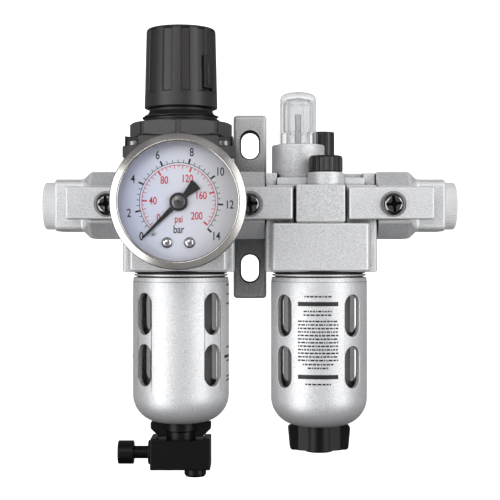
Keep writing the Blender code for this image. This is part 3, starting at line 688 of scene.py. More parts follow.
    def keep(self, *others: "Shape") -> "Shape":
        """Keep only what lies inside the other shapes."""
        return self._combine("INTERSECT", others)

    def _combine(self, operation: str, others: tuple["Shape", ...]) -> "Shape":
        """Run Boolean operations on temporary objects.

        Args:
            operation: UNION, DIFFERENCE or INTERSECT.
            others: The shapes to combine with.

        Returns:
            This shape.
        """
        for other in others:
            base = self._temporary()
            tool = other._temporary()
            modifier = base.modifiers.new("combine", "BOOLEAN")
            modifier.operation = operation
            modifier.solver = "EXACT"
            modifier.object = tool
            self.bm = self._evaluated(base)
            bpy.data.objects.remove(tool)
            bpy.data.objects.remove(base)
        return self

    def _temporary(self) -> bpy.types.Object:
        """Put the shape into a scratch object."""
        mesh = bpy.data.meshes.new("scratch")
        self.bm.to_mesh(mesh)
        item = bpy.data.objects.new("scratch", mesh)
        bpy.context.scene.collection.objects.link(item)
        return item

    @staticmethod
    def _evaluated(item: bpy.types.Object) -> bmesh.types.BMesh:
        """Return an object's mesh after its modifiers.

        Args:
            item: The object with its modifiers.

        Returns:
            The resulting mesh.
        """
        graph = bpy.context.evaluated_depsgraph_get()
        mesh = item.evaluated_get(graph).to_mesh()
        bm = bmesh.new()
        bm.from_mesh(mesh)
        bmesh.ops.remove_doubles(bm, verts=bm.verts, dist=0.001)
        return bm

    def eased(self, width: float, segments: int = 2, angle: float = 35.0,
              where: Pick | None = None) -> "Shape":
        """Round every edge that is sharper than an angle, and mark the new faces for a painted edge
        highlight.

        Args:
            width: The width of the rounding.
            segments: Its steps.
            angle: The least angle of an edge to round.
            where: Which corners count; all when left out.

        Returns:
            This shape.
        """
        limit = math.radians(angle)
        layer = self._layer("painted_highlight")
        edges = [edge for edge in self.bm.edges if edge.is_manifold and edge.calc_face_angle(0.0) > limit]
        if where:
            edges = [edge for edge in edges if all(where(corner.co) for corner in edge.verts)]
        made = bmesh.ops.bevel(self.bm, geom=edges, offset=width, segments=segments, affect="EDGES",
                               profile=0.5,
                               clamp_overlap=where is None, miter_outer="ARC")
        # The new rounded faces are marked for a painted highlight, which the cast metal lightens towards
        # near-white.
        for face in made["faces"]:
            face[layer] = 1.0
        return self

    def _layer(self, name: str) -> bmesh.types.BMLayerItem:
        """Return a face layer, made when missing."""
        layers = self.bm.faces.layers.float
        return layers.get(name) or layers.new(name)

    def mark(self, name: str, test: FaceTest) -> "Shape":
        """Mark the faces whose centre and normal pass a test.

        Args:
            name: The face layer's name.
            test: Says for a face's centre and normal whether it is marked.

        Returns:
            This shape.
        """
        layer = self._layer(name)
        self.bm.normal_update()
        for face in self.bm.faces:
            if test(face.calc_center_median(), face.normal):
                face[layer] = 1.0
        return self

    def publish(self, name: str, finish: Finish, body: str, *nodes: str,
                crease: float = 32.0) -> bpy.types.Object:
        """Make the finished piece.

        Args:
            name: The piece's name.
            finish: Its finish.
            body: The CAD body that it rides on.
            nodes: The CAD nodes that it stands for.
            crease: The angle above which edges stay sharp.

        Returns:
            The new object.
        """
        self.bm.transform(Matrix.Scale(MM, 4))
        mesh = bpy.data.meshes.new(name)
        self.bm.to_mesh(mesh)
        self.bm.free()
        item = bpy.data.objects.new(name, mesh)
        bpy.context.scene.collection.objects.link(item)
        return adopt(item, finish, body, *nodes, crease=crease)


def adopt(item: bpy.types.Object, finish: Finish, body: str, *nodes: str,
          crease: float = 32.0) -> bpy.types.Object:
    """Give an object its material, shading and CAD body.

    Args:
        item: The object to finish.
        finish: Its finish.
        body: The CAD body that it rides on.
        nodes: The CAD nodes that it stands for.
        crease: The angle above which edges stay sharp.

    Returns:
        The same object.
    """
    item.data.materials.clear()
    item.data.materials.append(finish.material())
    item.data.shade_smooth()
    item.data.set_sharp_from_angle(angle=math.radians(crease))
    even_shading(item)
    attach(item, body)
    if nodes:
        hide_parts(*nodes)
    LOG.info("made %s", item.name)
    return item


def even_shading(item: bpy.types.Object) -> None:
    """Keep flat faces flat up to their rounded edges, and store that in the mesh.

    Args:
        item: The object to shade.
    """
    modifier = item.modifiers.new("shading", "WEIGHTED_NORMAL")
    modifier.keep_sharp = True
    modifier.weight = 60
    graph = bpy.context.evaluated_depsgraph_get()
    mesh = bpy.data.meshes.new_from_object(item.evaluated_get(graph))
    mesh.name = item.name
    item.modifiers.clear()
    item.data = mesh


def thread_ridge(pitch: float, depth: float, low: float, high: float) -> Reshape:
    """Return a reshape that raises a helical ridge between two heights.

    Args:
        pitch: The height of one turn.
        depth: How far the thread stands out.
        low: Where the thread starts.
        high: Where it ends.

    Returns:
        A function that gives the radius at a height.
    """

    def reshape(angle: float, radius: float, height: float) -> float:
        """Add the ridge's height at one point."""
        phase = (height / pitch - angle / math.tau) % 1.0
        ridge = max(0.0, 1.0 - abs(phase - 0.5) * 3.4)
        fade = max(0.0, min(1.0, (height - low) / 0.3, (high - height) / 0.3))
        return radius + depth * min(1.0, ridge * 1.7) * fade

    return reshape


def span(low: float, high: float, step: float) -> list[float]:
    """Return evenly spaced heights from low to high."""
    count = max(1, round((high - low) / step))
    return [low + (high - low) * k / count for k in range(count + 1)]


@dataclass
class Layout:
    """Centre lines of the unit, read from the CAD frame in millimetres."""

    regulator_x: float = field(default_factory=lambda: Extent.of("knob").middle.x)
    lubricator_x: float = field(default_factory=lambda: Extent.of("oil_bowl_guard").middle.x)
    axis_y: float = field(default_factory=lambda: Extent.of("knob").middle.y)
    port_z: float = field(default_factory=lambda: Extent.of("inlet_plug").middle.z)
    gauge_x: float = field(default_factory=lambda: Extent.of("gauge_bezel").middle.x)

    def at(self, centre_x: float, across: float = 0.0, deep: float = 0.0, z: float = 0.0) -> tuple:
        """Return a point given as offsets from a vertical centre line."""
        return (centre_x + across, self.axis_y + deep, z)


# ---------------------------------------------------------------------------------------------
# Castings and joints


@dataclass
class Castings:
    """The two body castings, the spacer, the bracket and the adapters."""

    layout: Layout
    half: float = 19.7
    front_half: float = 16.7
    front: float = -20.0
    shoulder: float = -8.0
    back: float = 17.5
    recess: float = -16.0
    ledge: float = 6.5
    boss_half: float = 8.6
    block_top: float = -6.95
    lubricator_shift: float = -0.45
    passage: float = 4.0
    edge: float = 0.75

    def build(self) -> None:
        """Make every casting."""
        self._regulator()
        self._lubricator()
        self._spacer()
        self._bracket()
        for side, node in ((Side.INLET, "inlet_adapter"), (Side.OUTLET, "outlet_adapter")):
            self._adapter(side, node)

    def _plan(self, outline: Outline, centre_x: float) -> Outline:
        """Move a plan outline to its centre line."""
        return [(x + centre_x, y + self.layout.axis_y) for x, y in outline]

    def _base(self, centre_x: float, low: float, top: float, shift: float = 0.0) -> Shape:
        """Make the shape that both castings share; shift moves its front parts along X.

        Args:
            centre_x: The casting's centre line.
            low: Its underside.
            top: Its top.
            shift: How far the front block stands to the side.

        Returns:
            The joined shape.
        """
        rear = [(self.half, self.shoulder), (self.half, self.back), (-self.half, self.back),
                (-self.half, self.shoulder)]
        core = [(-self.half, self.recess + 1.2), (-self.half + 0.5, self.recess),
                (self.half - 0.5, self.recess),
                (self.half, self.recess + 1.2), *rear[1:3]]
        block = [(-self.front_half, self.front), (self.front_half, self.front),
                 (self.front_half + 0.9, self.recess - 0.4), (self.front_half + 0.9, self.recess + 3),
                 (-self.front_half - 0.9, self.recess + 3), (-self.front_half - 0.9, self.recess - 0.4)]
        y = self.layout.axis_y
        shape = Shape.prism(self._plan(core, centre_x), low, top).eased(0.5)
        shape.join(Shape.prism(self._plan(block, centre_x + shift), low + 0.4,
                               self.block_top).eased(self.edge, 3))
        boss = Shape.block((centre_x + shift - self.boss_half, centre_x + shift + self.boss_half),
                           (y + self.front - 0.3, y + self.recess + 2), (self.block_top + 0.3, self.ledge))
        boss.eased(self.edge * 0.8, 3)
        neck = Shape.block((centre_x + shift - self.boss_half + 0.4, centre_x + shift + self.boss_half - 0.4),
                           (y + self.front + 0.5, y + self.recess + 2), (self.block_top - 1,
                                                                         self.block_top + 1))
        shape.join(neck, boss)
        for side in (-1, 1):
            slit = sorted((centre_x + side * 18.4, centre_x + side * 21.0))
            gap = sorted((centre_x + shift + side * self.boss_half, centre_x + shift + side * 9.35))
            shape.cut(Shape.block(tuple(slit), (y - 12, y + 12), (-13.1, -12.3)),
                      Shape.block(tuple(gap), (y - 22, y - 10), (self.block_top, self.ledge + 1)))
        return shape

    def _bowl_bore(self, centre_x: float) -> Shape:
        """Make the cutter for the underside of a casting."""
        return Shape.bore([(15.25, -25.5), (13.4, -13.9)], -9.0, self.layout.at(centre_x), steps=96)

    def _regulator(self) -> None:
        """Make the filter regulator's casting."""
        cad = Extent.of("regulator_body")
        x = self.layout.regulator_x
        y, z = self.layout.axis_y, self.layout.port_z
        body = self._base(x, cad.low.z, cad.high.z)
        body.cut(
            self._bowl_bore(x),
            Shape.bore([(11.0, 12.0), (14.9, 14.0)], cad.high.z + 1, self.layout.at(x)),
            Shape.pin(self.passage, x - 21, x - 8.6, (0, y, z), Axis.X, 48),
            Shape.pin(self.passage, x - 3, x + 21, (0, y, z), Axis.X, 48),
            Shape.pin(5.0, y - 22, y - 9.5, (self.layout.gauge_x, 0, z), Axis.Y, 48),
            Shape.pin(2.6, -9.5, -2.0, self.layout.at(x), steps=32),
            Shape.pin(1.3, 0.0, 12.5, self.layout.at(x), steps=24),
        )
        for side_x in (-1, 1):
            for side_y in (-1, 1):
                point = self.layout.at(x, side_x * 15.3, side_y * 13.8)
                body.cut(Shape.pin(1.9, 8.0, cad.high.z + 1, point, steps=24))
        body.publish("casting_regulator", Palette.CASTING, "manifold", "regulator_body")

    def _lubricator(self) -> None:
        """Make the lubricator's casting with its sight boss and filler boss."""
        x = self.layout.lubricator_x
        cad = Extent.of("lubricator_body")
        dome = Extent.of("sight_dome").middle
        cap = Extent.of("filler_plug").middle
        rate = Extent.of("oil_rate_knob").middle
        body = self._base(x, cad.low.z, self.ledge, self.lubricator_shift)
        rear = [(-self.half, -8), (-15.5, -8), (-15.5, -4), (15.5, -4), (15.5, -8), (self.half, -8),
                (self.half, self.back), (-self.half, self.back)]
        body.join(
            Shape.prism(self._plan(rear, x), self.ledge - 1, 11.3).eased(0.4),
            Shape.prism(self._plan([(-15.5, -12.5), (15.5, -12.5), (15.5, -3), (-15.5, -3)], x),
                        self.ledge - 1, 9.4).eased(0.4),
            Shape.pin(9.6, 0.0, cad.high.z, (dome.x, dome.y, 0), steps=96).eased(0.5),
            Shape.pin(6.4, 0.0, 11.1, (cap.x, cap.y, 0), steps=72).eased(0.5),
        )
        body.cut(
            self._bowl_bore(x),
            Shape.pin(self.passage, x - 21, x + 21, (0, self.layout.axis_y, self.layout.port_z), Axis.X, 48),
            Shape.pin(5.9, 15.5, cad.high.z + 1, (dome.x, dome.y, 0), steps=64),
            Shape.pin(1.6, -9.5, 16.0, self.layout.at(x, -6.4, 5.9), steps=24),
            Shape.bore([(4.2, 3.0), (5.4, 10.2)], 12.5, (cap.x, cap.y, 0)),
            Shape.pin(1.8, -9.5, 3.5, (cap.x, self.layout.axis_y - 10.5, 0), steps=24),
            Shape.pin(2.6, 2.0, 12.5, (rate.x, rate.y, 0), steps=32),
        )
        body.publish("casting_lubricator", Palette.CASTING, "manifold", "lubricator_body")

    def section(self, reach: float = 12.0) -> list[tuple[float, float]]:
        """Return the dovetail's (y, z) outline."""
        half = [(-16.0, -6.3), (-16.0, 6.3), (-9.0, reach), (9.0, reach), (16.0, 6.3), (16.0, -6.3),
                (9.0, -reach), (-9.0, -reach)]
        return [(self.layout.axis_y + y, self.layout.port_z + z) for y, z in half]

    def _spacer(self) -> None:
        """Make the dovetail spacer between the two castings."""
        y, z = self.layout.axis_y, self.layout.port_z
        spacer = Shape.prism(self.section(), -5.2, 5.2, Axis.X)
        spacer.join(Shape.block((-4.0, 4.0), (y + 14, -8.3), (-11.2, 10.4)))
        spacer.cut(
            Shape.pin(self.passage, -6, 6, (0, y, z), Axis.X, 48),
            Shape.pin(2.2, y - 17, y - 8, (0, 0, z), Axis.Y, 32),
            *(Shape.pin(2.0, y + 9, 0, (0, 0, z + side * 8.0), Axis.Y, 32) for side in (-1, 1)),
        )
        spacer.eased(self.edge).publish("spacer", Palette.CASTING, "manifold", "center_spacer")

    def _bracket(self) -> None:
        """Make the slotted wall plate."""
        cad = Extent.of("wall_bracket")
        plate = Shape.block((cad.low.x, cad.high.x), (cad.low.y, cad.high.y), (cad.low.z, cad.high.z))
        plate.eased(1.4, 5, 80)
        for height in (-23.4, 23.4):
            plate.cut(Shape.prism(stadium(6.8, 10.4, (0, height)), -20, 2, Axis.Y))
        for side in (-1, 1):
            plate.cut(Shape.bore([(2.1, -10), (3.9, -3.6)], 1,
                                 (0, 0, self.layout.port_z + side * 8.0), Axis.Y, 48))
        plate.eased(0.35, 2)
        for height in (-23.4, 23.4):
            rings = [[(a, depth, b) for a, b in stadium(6.8 + grow, 10.4 + grow, (0, height))]
                     for depth, grow in ((cad.low.y - 1, 1.0), (cad.low.y + 0.1, 1.0),
                                         (cad.low.y + 0.9, 0.0))]
            plate.cut(Shape.loft(rings))
        # Painted shade: the slot rims' chamfer faces are marked to be blackened.
        plate.mark("stained", lambda spot, normal: abs(abs(spot.z) - 23.4) < 6.2 and abs(spot.x) < 4.6
                   and abs(normal.y) < 0.9)
        plate.publish("bracket_plate", Palette.BRACKET, "manifold", "wall_bracket")

    def _adapter(self, side: Side, node: str) -> None:
        """Make one port adapter with its threaded mouth.

        Args:
            side: The end of the unit.
            node: The CAD node that it stands for.
        """
        y, z = self.layout.axis_y, self.layout.port_z
        deep, tall, edge = 9.6, 9.35, 1.5
        square = [(-deep, edge - tall), (-deep, tall - edge), (edge - deep, tall), (deep - edge, tall),
                  (deep, tall - edge), (deep, edge - tall), (deep - edge, -tall), (edge - deep, -tall)]
        narrow = [(y + a, z + b) for a, b in square]
        stations = ((45.2, self.section()), (57.0, self.section()), (59.8, narrow), (70.0, narrow))
        rings = [[(side.value * x, a, b) for a, b in outline] for x, outline in stations]
        mouth = [(self.passage, side.value * 44), (5.75, side.value * 58.0), (8.85, side.value * 69.5)]
        adapter = Shape.loft(rings).eased(0.8, 3, 20)
        adapter.cut(Shape.bore(mouth, side.value * 71, (0, y, z), Axis.X, 72),
                    Shape.pin(2.2, y - 17, y - 8, (side.value * 50.0, 0, z), Axis.Y, 32))
        adapter.publish("adapter_" + side.name.lower(), Palette.CASTING, "manifold", node)


@dataclass
class Clamps:
    """The straps across the joints, and their screws."""

    layout: Layout
    recess_depth: float = 1.3
    lift: float = 0.4

    def build(self) -> None:
        """Make the three straps and screws."""
        for label in ("left", "center", "right"):
            self._strap(label)
            self._screw(label)

    def _strap(self, label: str) -> None:
        """Make one strap with softened edges and a seat for its screw.

        Args:
            label: Which of the three clamps.
        """
        cad = Extent.of("clamp_" + label)
        screw = Extent.of("clamp_screw_" + label).middle
        strap = Shape.block((cad.low.x, cad.high.x), (cad.low.y, cad.high.y),
                            (cad.low.z + self.lift, cad.high.z + self.lift)).eased(0.7, 3)
        strap.cut(Shape.bore([(4.5, cad.low.y - 1), (2.4, cad.low.y + 0.25)], cad.high.y + 1,
                             (screw.x, 0, screw.z), Axis.Y, 64))
        strap.publish("strap_" + label, Palette.CASTING, "manifold", "clamp_" + label)

    def _screw(self, label: str) -> None:
        """Make one pan-head screw with a cross recess.

        Args:
            label: Which of the three clamps.
        """
        cad = Extent.of("clamp_screw_" + label)
        top, head = cad.low.y, 4.0
        outline = [(0, top + 0.25), (2.3, top + 0.05), (2.9, top + 0.25), (3.5, top + 0.75), (3.9, top + 1.5),
                   (head, top + 2.1), (1.9, top + 2.2), (1.9, cad.high.y), (0, cad.high.y)]
        screw = Shape.lathe(rounded(outline, 0.25, 3, closed=False), (cad.middle.x, 0, cad.middle.z),
                            Axis.Y, 72)
        for angle in (-6, 84):
            slot = Shape.block((-2.75, 2.75), (top - 1, top + self.recess_depth), (-0.52, 0.52))
            slot.moved(Matrix.Translation((cad.middle.x, 0,
                                           cad.middle.z)) @ Matrix.Rotation(math.radians(angle), 4, "Y"))
            screw.cut(slot)
        cone = Shape.lathe([(0, top - 1), (1.5, top - 1), (0.9, top + 0.9), (0, top + 1.9)],
                           (cad.middle.x, 0, cad.middle.z), Axis.Y, 24)
        # Painted shade: the faces inside the cross recess are marked to be blackened.
        screw.cut(cone).mark("stained", lambda spot, _: top + 0.42 < spot.y < top + 2.0
                             and math.hypot(spot.x - cad.middle.x, spot.z - cad.middle.z) < 2.77)
        screw.publish("pan_screw_" + label, Palette.OXIDE, "manifold", "clamp_screw_" + label)


@dataclass
class PortPlugs:
    """The push-in caps that close the two ports."""

    layout: Layout
    ribs: int = 60

    def build(self) -> None:
        """Make both plugs."""
        for side, node in ((Side.INLET, "inlet_plug"), (Side.OUTLET, "outlet_plug")):
            self._plug(side, node)

    def _plug(self, side: Side, node: str) -> None:
        """Make one plug with a ribbed rim.

        Args:
            side: The end of the unit.
            node: The CAD node that it stands for.
        """
        outer = 8.6
        outline = [(0, 73.2), (6.3, 73.2), (6.8, 74.6), (8.0, 74.7), (outer, 74.2), (outer, 73.4),
                   (outer, 70.9),
                   (outer, 69.8), (5.4, 69.8), (5.2, 60.5), (4.2, 60.5), (4.2, 71.6), (0, 71.6)]

        def ribbed(angle: float, radius: float, height: float) -> float:
            """Sink the grooves between the rim's ribs."""
            if radius < outer - 0.1 or not 70.6 < abs(height) < 74.3:
                return radius
            return radius - 0.16 * (0.5 - 0.5 * math.cos(angle * self.ribs))

        placed = [(radius, side.value * x) for radius, x in rounded(outline, 0.3, 3, closed=False)]
        plug = Shape.lathe(placed, (0, self.layout.axis_y, self.layout.port_z), Axis.X, 288, ribbed)
        plug.publish("dust_plug_" + side.name.lower(), Palette.PLUG, node, node)


# ---------------------------------------------------------------------------------------------
# Pressure setting


@dataclass
class PressureHead:
    """The bonnet, panel nut, knob and what they hold."""

    layout: Layout
    flute_count: int = 12
    flute_half: float = 8.2
    flute_depth: float = 0.75

    def build(self) -> None:
        """Make the head from the flange up."""
        self._bonnet()
        self._screws()
        self._nut()
        self._knob()

    def _bonnet(self) -> None:
        """Make the flange, threaded neck and turret."""
        x, y = self.layout.regulator_x, self.layout.axis_y
        cad = Extent.of("bonnet")
        low = [(-20.0, -14.5), (-17, -18), (17, -18), (20.0, -14.5), (20.0, 15.4), (18, 17.4), (-18, 17.4),
               (-20.0, 15.4)]
        rings = []
        for scale, outline_z in ((1.0, cad.low.z), (1.0, 20.3), (0.96, 20.5), (0.96, 24.0)):
            rings.append([(x + a * scale, y + b * scale, outline_z) for a, b in low])
        bonnet = Shape.loft(rings).eased(0.5, 3, 30)
        column = [(0, 18.6), (13.2, 18.6)]
        column += [(13.2, height) for height in span(24.2, 32.4, 0.16)]
        column += [(12.4, 32.6), (11.6, 33.8), (11.6, 34.6), (9.6, 34.6), (9.6, 51.5), (9.1, 52.0), (0, 52.0)]
        ridge = thread_ridge(1.75, 0.85, 24.6, 32.4)

        def threaded(angle: float, radius: float, height: float) -> float:
            """Raise the thread on the neck only."""
            return ridge(angle, radius, height) if 13.0 < radius < 14 and height > 24 else radius

        neck = Shape.lathe(column, (x, y, 0), steps=120, reshape=threaded)
        neck.cut(Shape.bore([(8.0, 17.0), (3.3, 50.0)], 53, (x, y, 0), steps=72))
        # Painted shade: the neck takes the near-black inner finish, darker than the charcoal bonnet, for the
        # shade under the knob.
        neck.publish("threaded_neck", Palette.INNER, "manifold")
        bonnet.cut(Shape.bore([(11.0, 15.0), (13.0, 18.5)], 30, (x, y, 0), steps=72))
        for side_x in (-1, 1):
            for side_y in (-1, 1):
                point = (x + side_x * 15.3, y + side_y * 13.8, 0)
                bonnet.cut(Shape.bore([(1.9, 15.0), (3.7, 20.0)], 25.0, point, steps=48))
        bonnet.publish("bonnet_housing", Palette.HOUSING, "manifold", "bonnet")

    def _screws(self) -> None:
        """Make the four bonnet screws."""
        for number in range(1, 5):
            cad = Extent.of(f"bonnet_screw_{number}")
            outline = [(0, 8.6), (1.5, 8.6), (1.5, 20.3), (3.2, 20.3), (3.2, 22.0), (2.7, 22.7), (0, 22.9)]
            screw = Shape.lathe(rounded(outline, 0.2, 3, closed=False), (cad.middle.x, cad.middle.y, 0),
                                steps=48)
            for angle in (15, 105):
                slot = Shape.block((-1.9, 1.9), (-0.35, 0.35), (21.9, 24.0))
                slot.moved(Matrix.Translation((cad.middle.x, cad.middle.y, 0))
                           @ Matrix.Rotation(math.radians(angle), 4, "Z"))
                screw.cut(slot)
            screw.publish(f"bonnet_pan_screw_{number}", Palette.DARK_STEEL, "manifold",
                          f"bonnet_screw_{number}")

    def _nut(self) -> None:
        """Make the octagonal panel nut with a groove at each corner."""
        x, y = self.layout.regulator_x, self.layout.axis_y
        nut = Shape.prism(polygon(8, 19.0, (x, y), -90), 24.3, 29.6)
        ring = [(13.9, 24.0), (17.2, 24.2), (19.6, 25.7), (19.6, 28.6), (17.0, 29.9), (13.9, 29.9)]
        keep = Shape.lathe(ring, (x, y, 0), steps=120)
        nut.keep(keep)
        nut.eased(0.3, 2, 25)
        for k in range(8):
            groove = Shape.block((18.15, 21.0), (-1.0, 1.0), (23, 31))
            groove.moved(Matrix.Translation((x, y, 0)) @ Matrix.Rotation(math.radians(-90 + 45 * k), 4, "Z"))
            nut.cut(groove)
        nut.publish("octagon_nut", Palette.HOUSING, "manifold", "panel_nut")

    def _knob(self) -> None:
        """Make the fluted knob with its latch window."""
        x, y = self.layout.regulator_x, self.layout.axis_y
        cad = Extent.of("knob")
        low, top = cad.low.z, cad.high.z
        walls = [(13.3 - 0.7 * (height - low) / (top - low), height)
                 for height in span(low + 0.3, top - 1.3, 0.45)]
        crown = arc((11.5, top - 1.1), 1.1, 10, 90, 6)
        outline = [(10.6, low), (12.9, low), *walls, *crown, (8.8, top + 0.0), (8.3, top - 0.5),
                   (0, top - 0.5)]
        outline = [(0, 60.5), (10.4, 60.5), (10.4, low + 0.4), *outline]

        def fluted(angle: float, radius: float, height: float) -> float:
            """Sink twelve flat-bottomed flutes above the plain skirt.

            Args:
                angle: The direction, in radians.
                radius: The turned radius there.
                height: The height.

            Returns:
                The new radius.
            """
            if radius < 11.4 or height < low + 5.6:
                return radius
            pitch = 360.0 / self.flute_count
            offset = (math.degrees(angle) - 10.0 + pitch / 2) % pitch - pitch / 2
            side = max(0.0, min(1.0, (self.flute_half - abs(offset)) / 1.0))
            fade = max(0.0, min(1.0, (top - 0.7 - height) / 0.5))
            return radius - self.flute_depth * side * fade

        knob = Shape.lathe(outline, (x, y, 0), steps=360, reshape=fluted)
        knob.join(Shape.pin(7.0, 53.2, 62.0, (x, y, 0), steps=48))
        knob.cut(Shape.prism(polygon(6, 4.7, (x, y)), 52.0, 58.8))
        frame = Matrix.Translation((x, y, 0)) @ Matrix.Rotation(math.radians(-90 + 54.5), 4, "Z")
        window = Shape.block((11.0, 16.0), (-3.0, 3.0), (low + 5.6, low + 18.4)).moved(frame)
        latch = Shape.block((10.8, 12.6), (-2.0, 2.0), (low + 6.9, low + 18.9), 0.25, 2).moved(frame)
        rib = Shape.block((12.2, 13.15), (-0.75, 0.75), (low + 8.0, low + 15.8), 0.25, 2).moved(frame)
        inverse = frame.inverted()

        def inside(spot: Vector, _: Vector) -> bool:
            """Pick the window's walls and floor."""
            local = inverse @ spot
            wall = (abs(abs(local.y) - 3.0) < 0.02 or abs(local.z - low - 5.6) < 0.02
                    or abs(local.x - 11.0) < 0.02)
            return local.x > 10.9 and abs(local.y) < 3.05 and low + 5.5 < local.z < low + 18.5 and wall

        # Painted shade: the latch window's walls and floor are marked to be blackened.
        knob.cut(window).mark("stained", inside).join(latch, rib)
        knob.publish("pressure_knob", Palette.KNOB, "knob", "knob", crease=24)


# ---------------------------------------------------------------------------------------------
# Gauge


@dataclass
class Gauge:
    """The round pressure gauge."""

    layout: Layout
    full_bar: float = 14.0
    first_bar: float = 0.5
    start: float = 232.3
    degrees_per_bar: float = 19.65
    bar_per_psi: float = 0.0689476

    def build(self) -> None:
        """Make the case, bezel, lens, dial and pointer."""
        self.centre = (self.layout.gauge_x, self.layout.axis_y, self.layout.port_z)
        self._case()
        self._dial()
        self._marks()
        self._pointer()

    def _turned(self, outline: Outline, steps: int = 144, edge: float = 0.0) -> Shape:
        """Turn an outline about the gauge's axis."""
        return Shape.lathe(rounded(outline, edge, 4, outline[0][0] > 0) if edge else outline, self.centre,
                           Axis.Y,
                           steps)

    def _case(self) -> None:
        """Make the cup, the rolled bezel, the lens and the stem."""
        case = [(4.0, -24.2), (20.6, -24.2), (21.6, -25.4), (21.6, -43.7), (20.6, -43.7), (20.6, -25.4),
                (4.0, -25.4)]
        self._turned(case, edge=0.5).publish("gauge_cup", Palette.OXIDE, "manifold", "gauge_case")
        bezel = [(22.7, -40.6), (22.7, -43.9), *arc((22.2, -44.25), 0.5, 0, -70, 6),
                 *arc((20.3, -44.85), 0.6, -75, -180, 10), (19.7, -43.8), (21.9, -43.8), (21.9, -40.6)]
        self._turned(bezel, 192).publish("bezel_ring", Palette.CHROME, "manifold", "gauge_bezel", crease=50)
        lens = [(0, -43.4), (20.3, -43.4), (20.3, -42.2), (0, -42.2)]
        self._turned(lens).publish("gauge_window", Palette.LENS, "manifold", "gauge_lens")
        stem = [(0, -27.5), (3.6, -27.5), (3.6, -22.7), (4.7, -21.0), (4.7, -10.0), (0, -10.0)]
        hexagon = Shape.prism(polygon(6, 6.6, (self.centre[0], self.centre[2])), self.centre[1] - 23.9,
                              self.centre[1] - 20.7, Axis.Y).eased(0.4, 2)
        self._turned(stem, 64).join(hexagon).publish("gauge_stem_hex", Palette.BRASS, "manifold",
                                                     "gauge_stem")

    def _dial(self) -> None:
        """Make the dial plate, its two screws and the pointer's stop pin."""
        dial = [(1.2, -39.9), (20.3, -39.9), (20.3, -39.4), (1.2, -39.4)]
        self._turned(dial).publish("dial_plate", Palette.DIAL, "manifold", "gauge_dial")
        x, y, z = self.centre
        for number in (1, 2):
            cad = Extent.of(f"dial_screw_{number}").middle
            dome = [(0, -41.05), (0.8, -41.0), (1.45, -40.7), (1.85, -40.25), (1.9, -39.95), (0, -39.95)]
            screw = Shape.lathe(dome, (cad.x, y, cad.z), Axis.Y, 48)
            screw.publish(f"dial_rivet_{number}", Palette.ZINC, "manifold", f"dial_screw_{number}")
        pin = Shape.pin(0.8, -40.7, -39.95, (x - 8.6, y, z - 10.5), Axis.Y, 32, 0.2)
        pin.publish("pointer_stop", Palette.ZINC, "manifold")

    def angle(self, bar: float) -> float:
        """Return the dial angle of a pressure, in radians."""
        return math.radians(self.start - self.degrees_per_bar * bar)

    def _tick(self, bar: float, inner: float, outer: float, width: float) -> Shape:
        """Make one radial mark."""
        x, y, z = self.centre
        mark = Shape.block((inner, outer), (y - 39.95, y - 39.91), (-width / 2, width / 2))
        return mark.moved(Matrix.Translation((x, 0, z)) @ Matrix.Rotation(-self.angle(bar), 4, "Y"))

    def _band(self, radius: float, width: float, last: float) -> Shape:
        """Make a thin printed arc from the first mark to a pressure.

        Args:
            radius: The middle of the band.
            width: Its width.
            last: The angle where it ends.

        Returns:
            The band's shape.
        """
        x, y, z = self.centre
        steps = 160
        outline = []
        for reach, order in ((radius - width / 2, 1), (radius + width / 2, -1)):
            angles = [self.angle(self.first_bar + (last - self.first_bar) * k / steps)
                      for k in range(steps + 1)]
            outline += [(x + reach * math.cos(a), z + reach * math.sin(a)) for a in angles][::order]
        return Shape.prism(outline, y - 39.95, y - 39.91, Axis.Y)

    def _lettering(self, text: str, across: float, up: float, height: float, squeeze: float = 0.74) -> Shape:
        """Make flat text that faces the front.

        Args:
            text: The number or unit.
            across: Its centre along X.
            up: Its centre along Z.
            height: The height of a figure.
            squeeze: Its width as a share of the font's.

        Returns:
            The raised figures.
        """
        curve = bpy.data.curves.new("text", "FONT")
        curve.body = text
        curve.size = height / 0.70
        curve.align_x = "CENTER"
        curve.align_y = "CENTER"
        curve.extrude = 0.02
        curve.offset = 0.05
        item = bpy.data.objects.new("text", curve)
        bpy.context.scene.collection.objects.link(item)
        graph = bpy.context.evaluated_depsgraph_get()
        bm = bmesh.new()
        bm.from_mesh(item.evaluated_get(graph).to_mesh())
        bpy.data.objects.remove(item)
        bm.transform(Matrix.Translation((self.centre[0] + across, self.centre[1] - 39.93,
                                         self.centre[2] + up))
                     @ Matrix.Rotation(math.radians(90), 4, "X") @ Matrix.Diagonal((squeeze, 1, 1, 1)))
        return Shape.as_made(bm)

    @staticmethod
    def gather(shapes: list[Shape]) -> Shape:
        """Put separate printed marks into one mesh.

        Args:
            shapes: The shapes to join.

        Returns:
            One shape that holds them all.
        """
        bm = bmesh.new()
        for shape in shapes:
            mesh = bpy.data.meshes.new("mark")
            shape.bm.to_mesh(mesh)
            shape.bm.free()
            bm.from_mesh(mesh)
            bpy.data.meshes.remove(mesh)
        return Shape.as_made(bm)

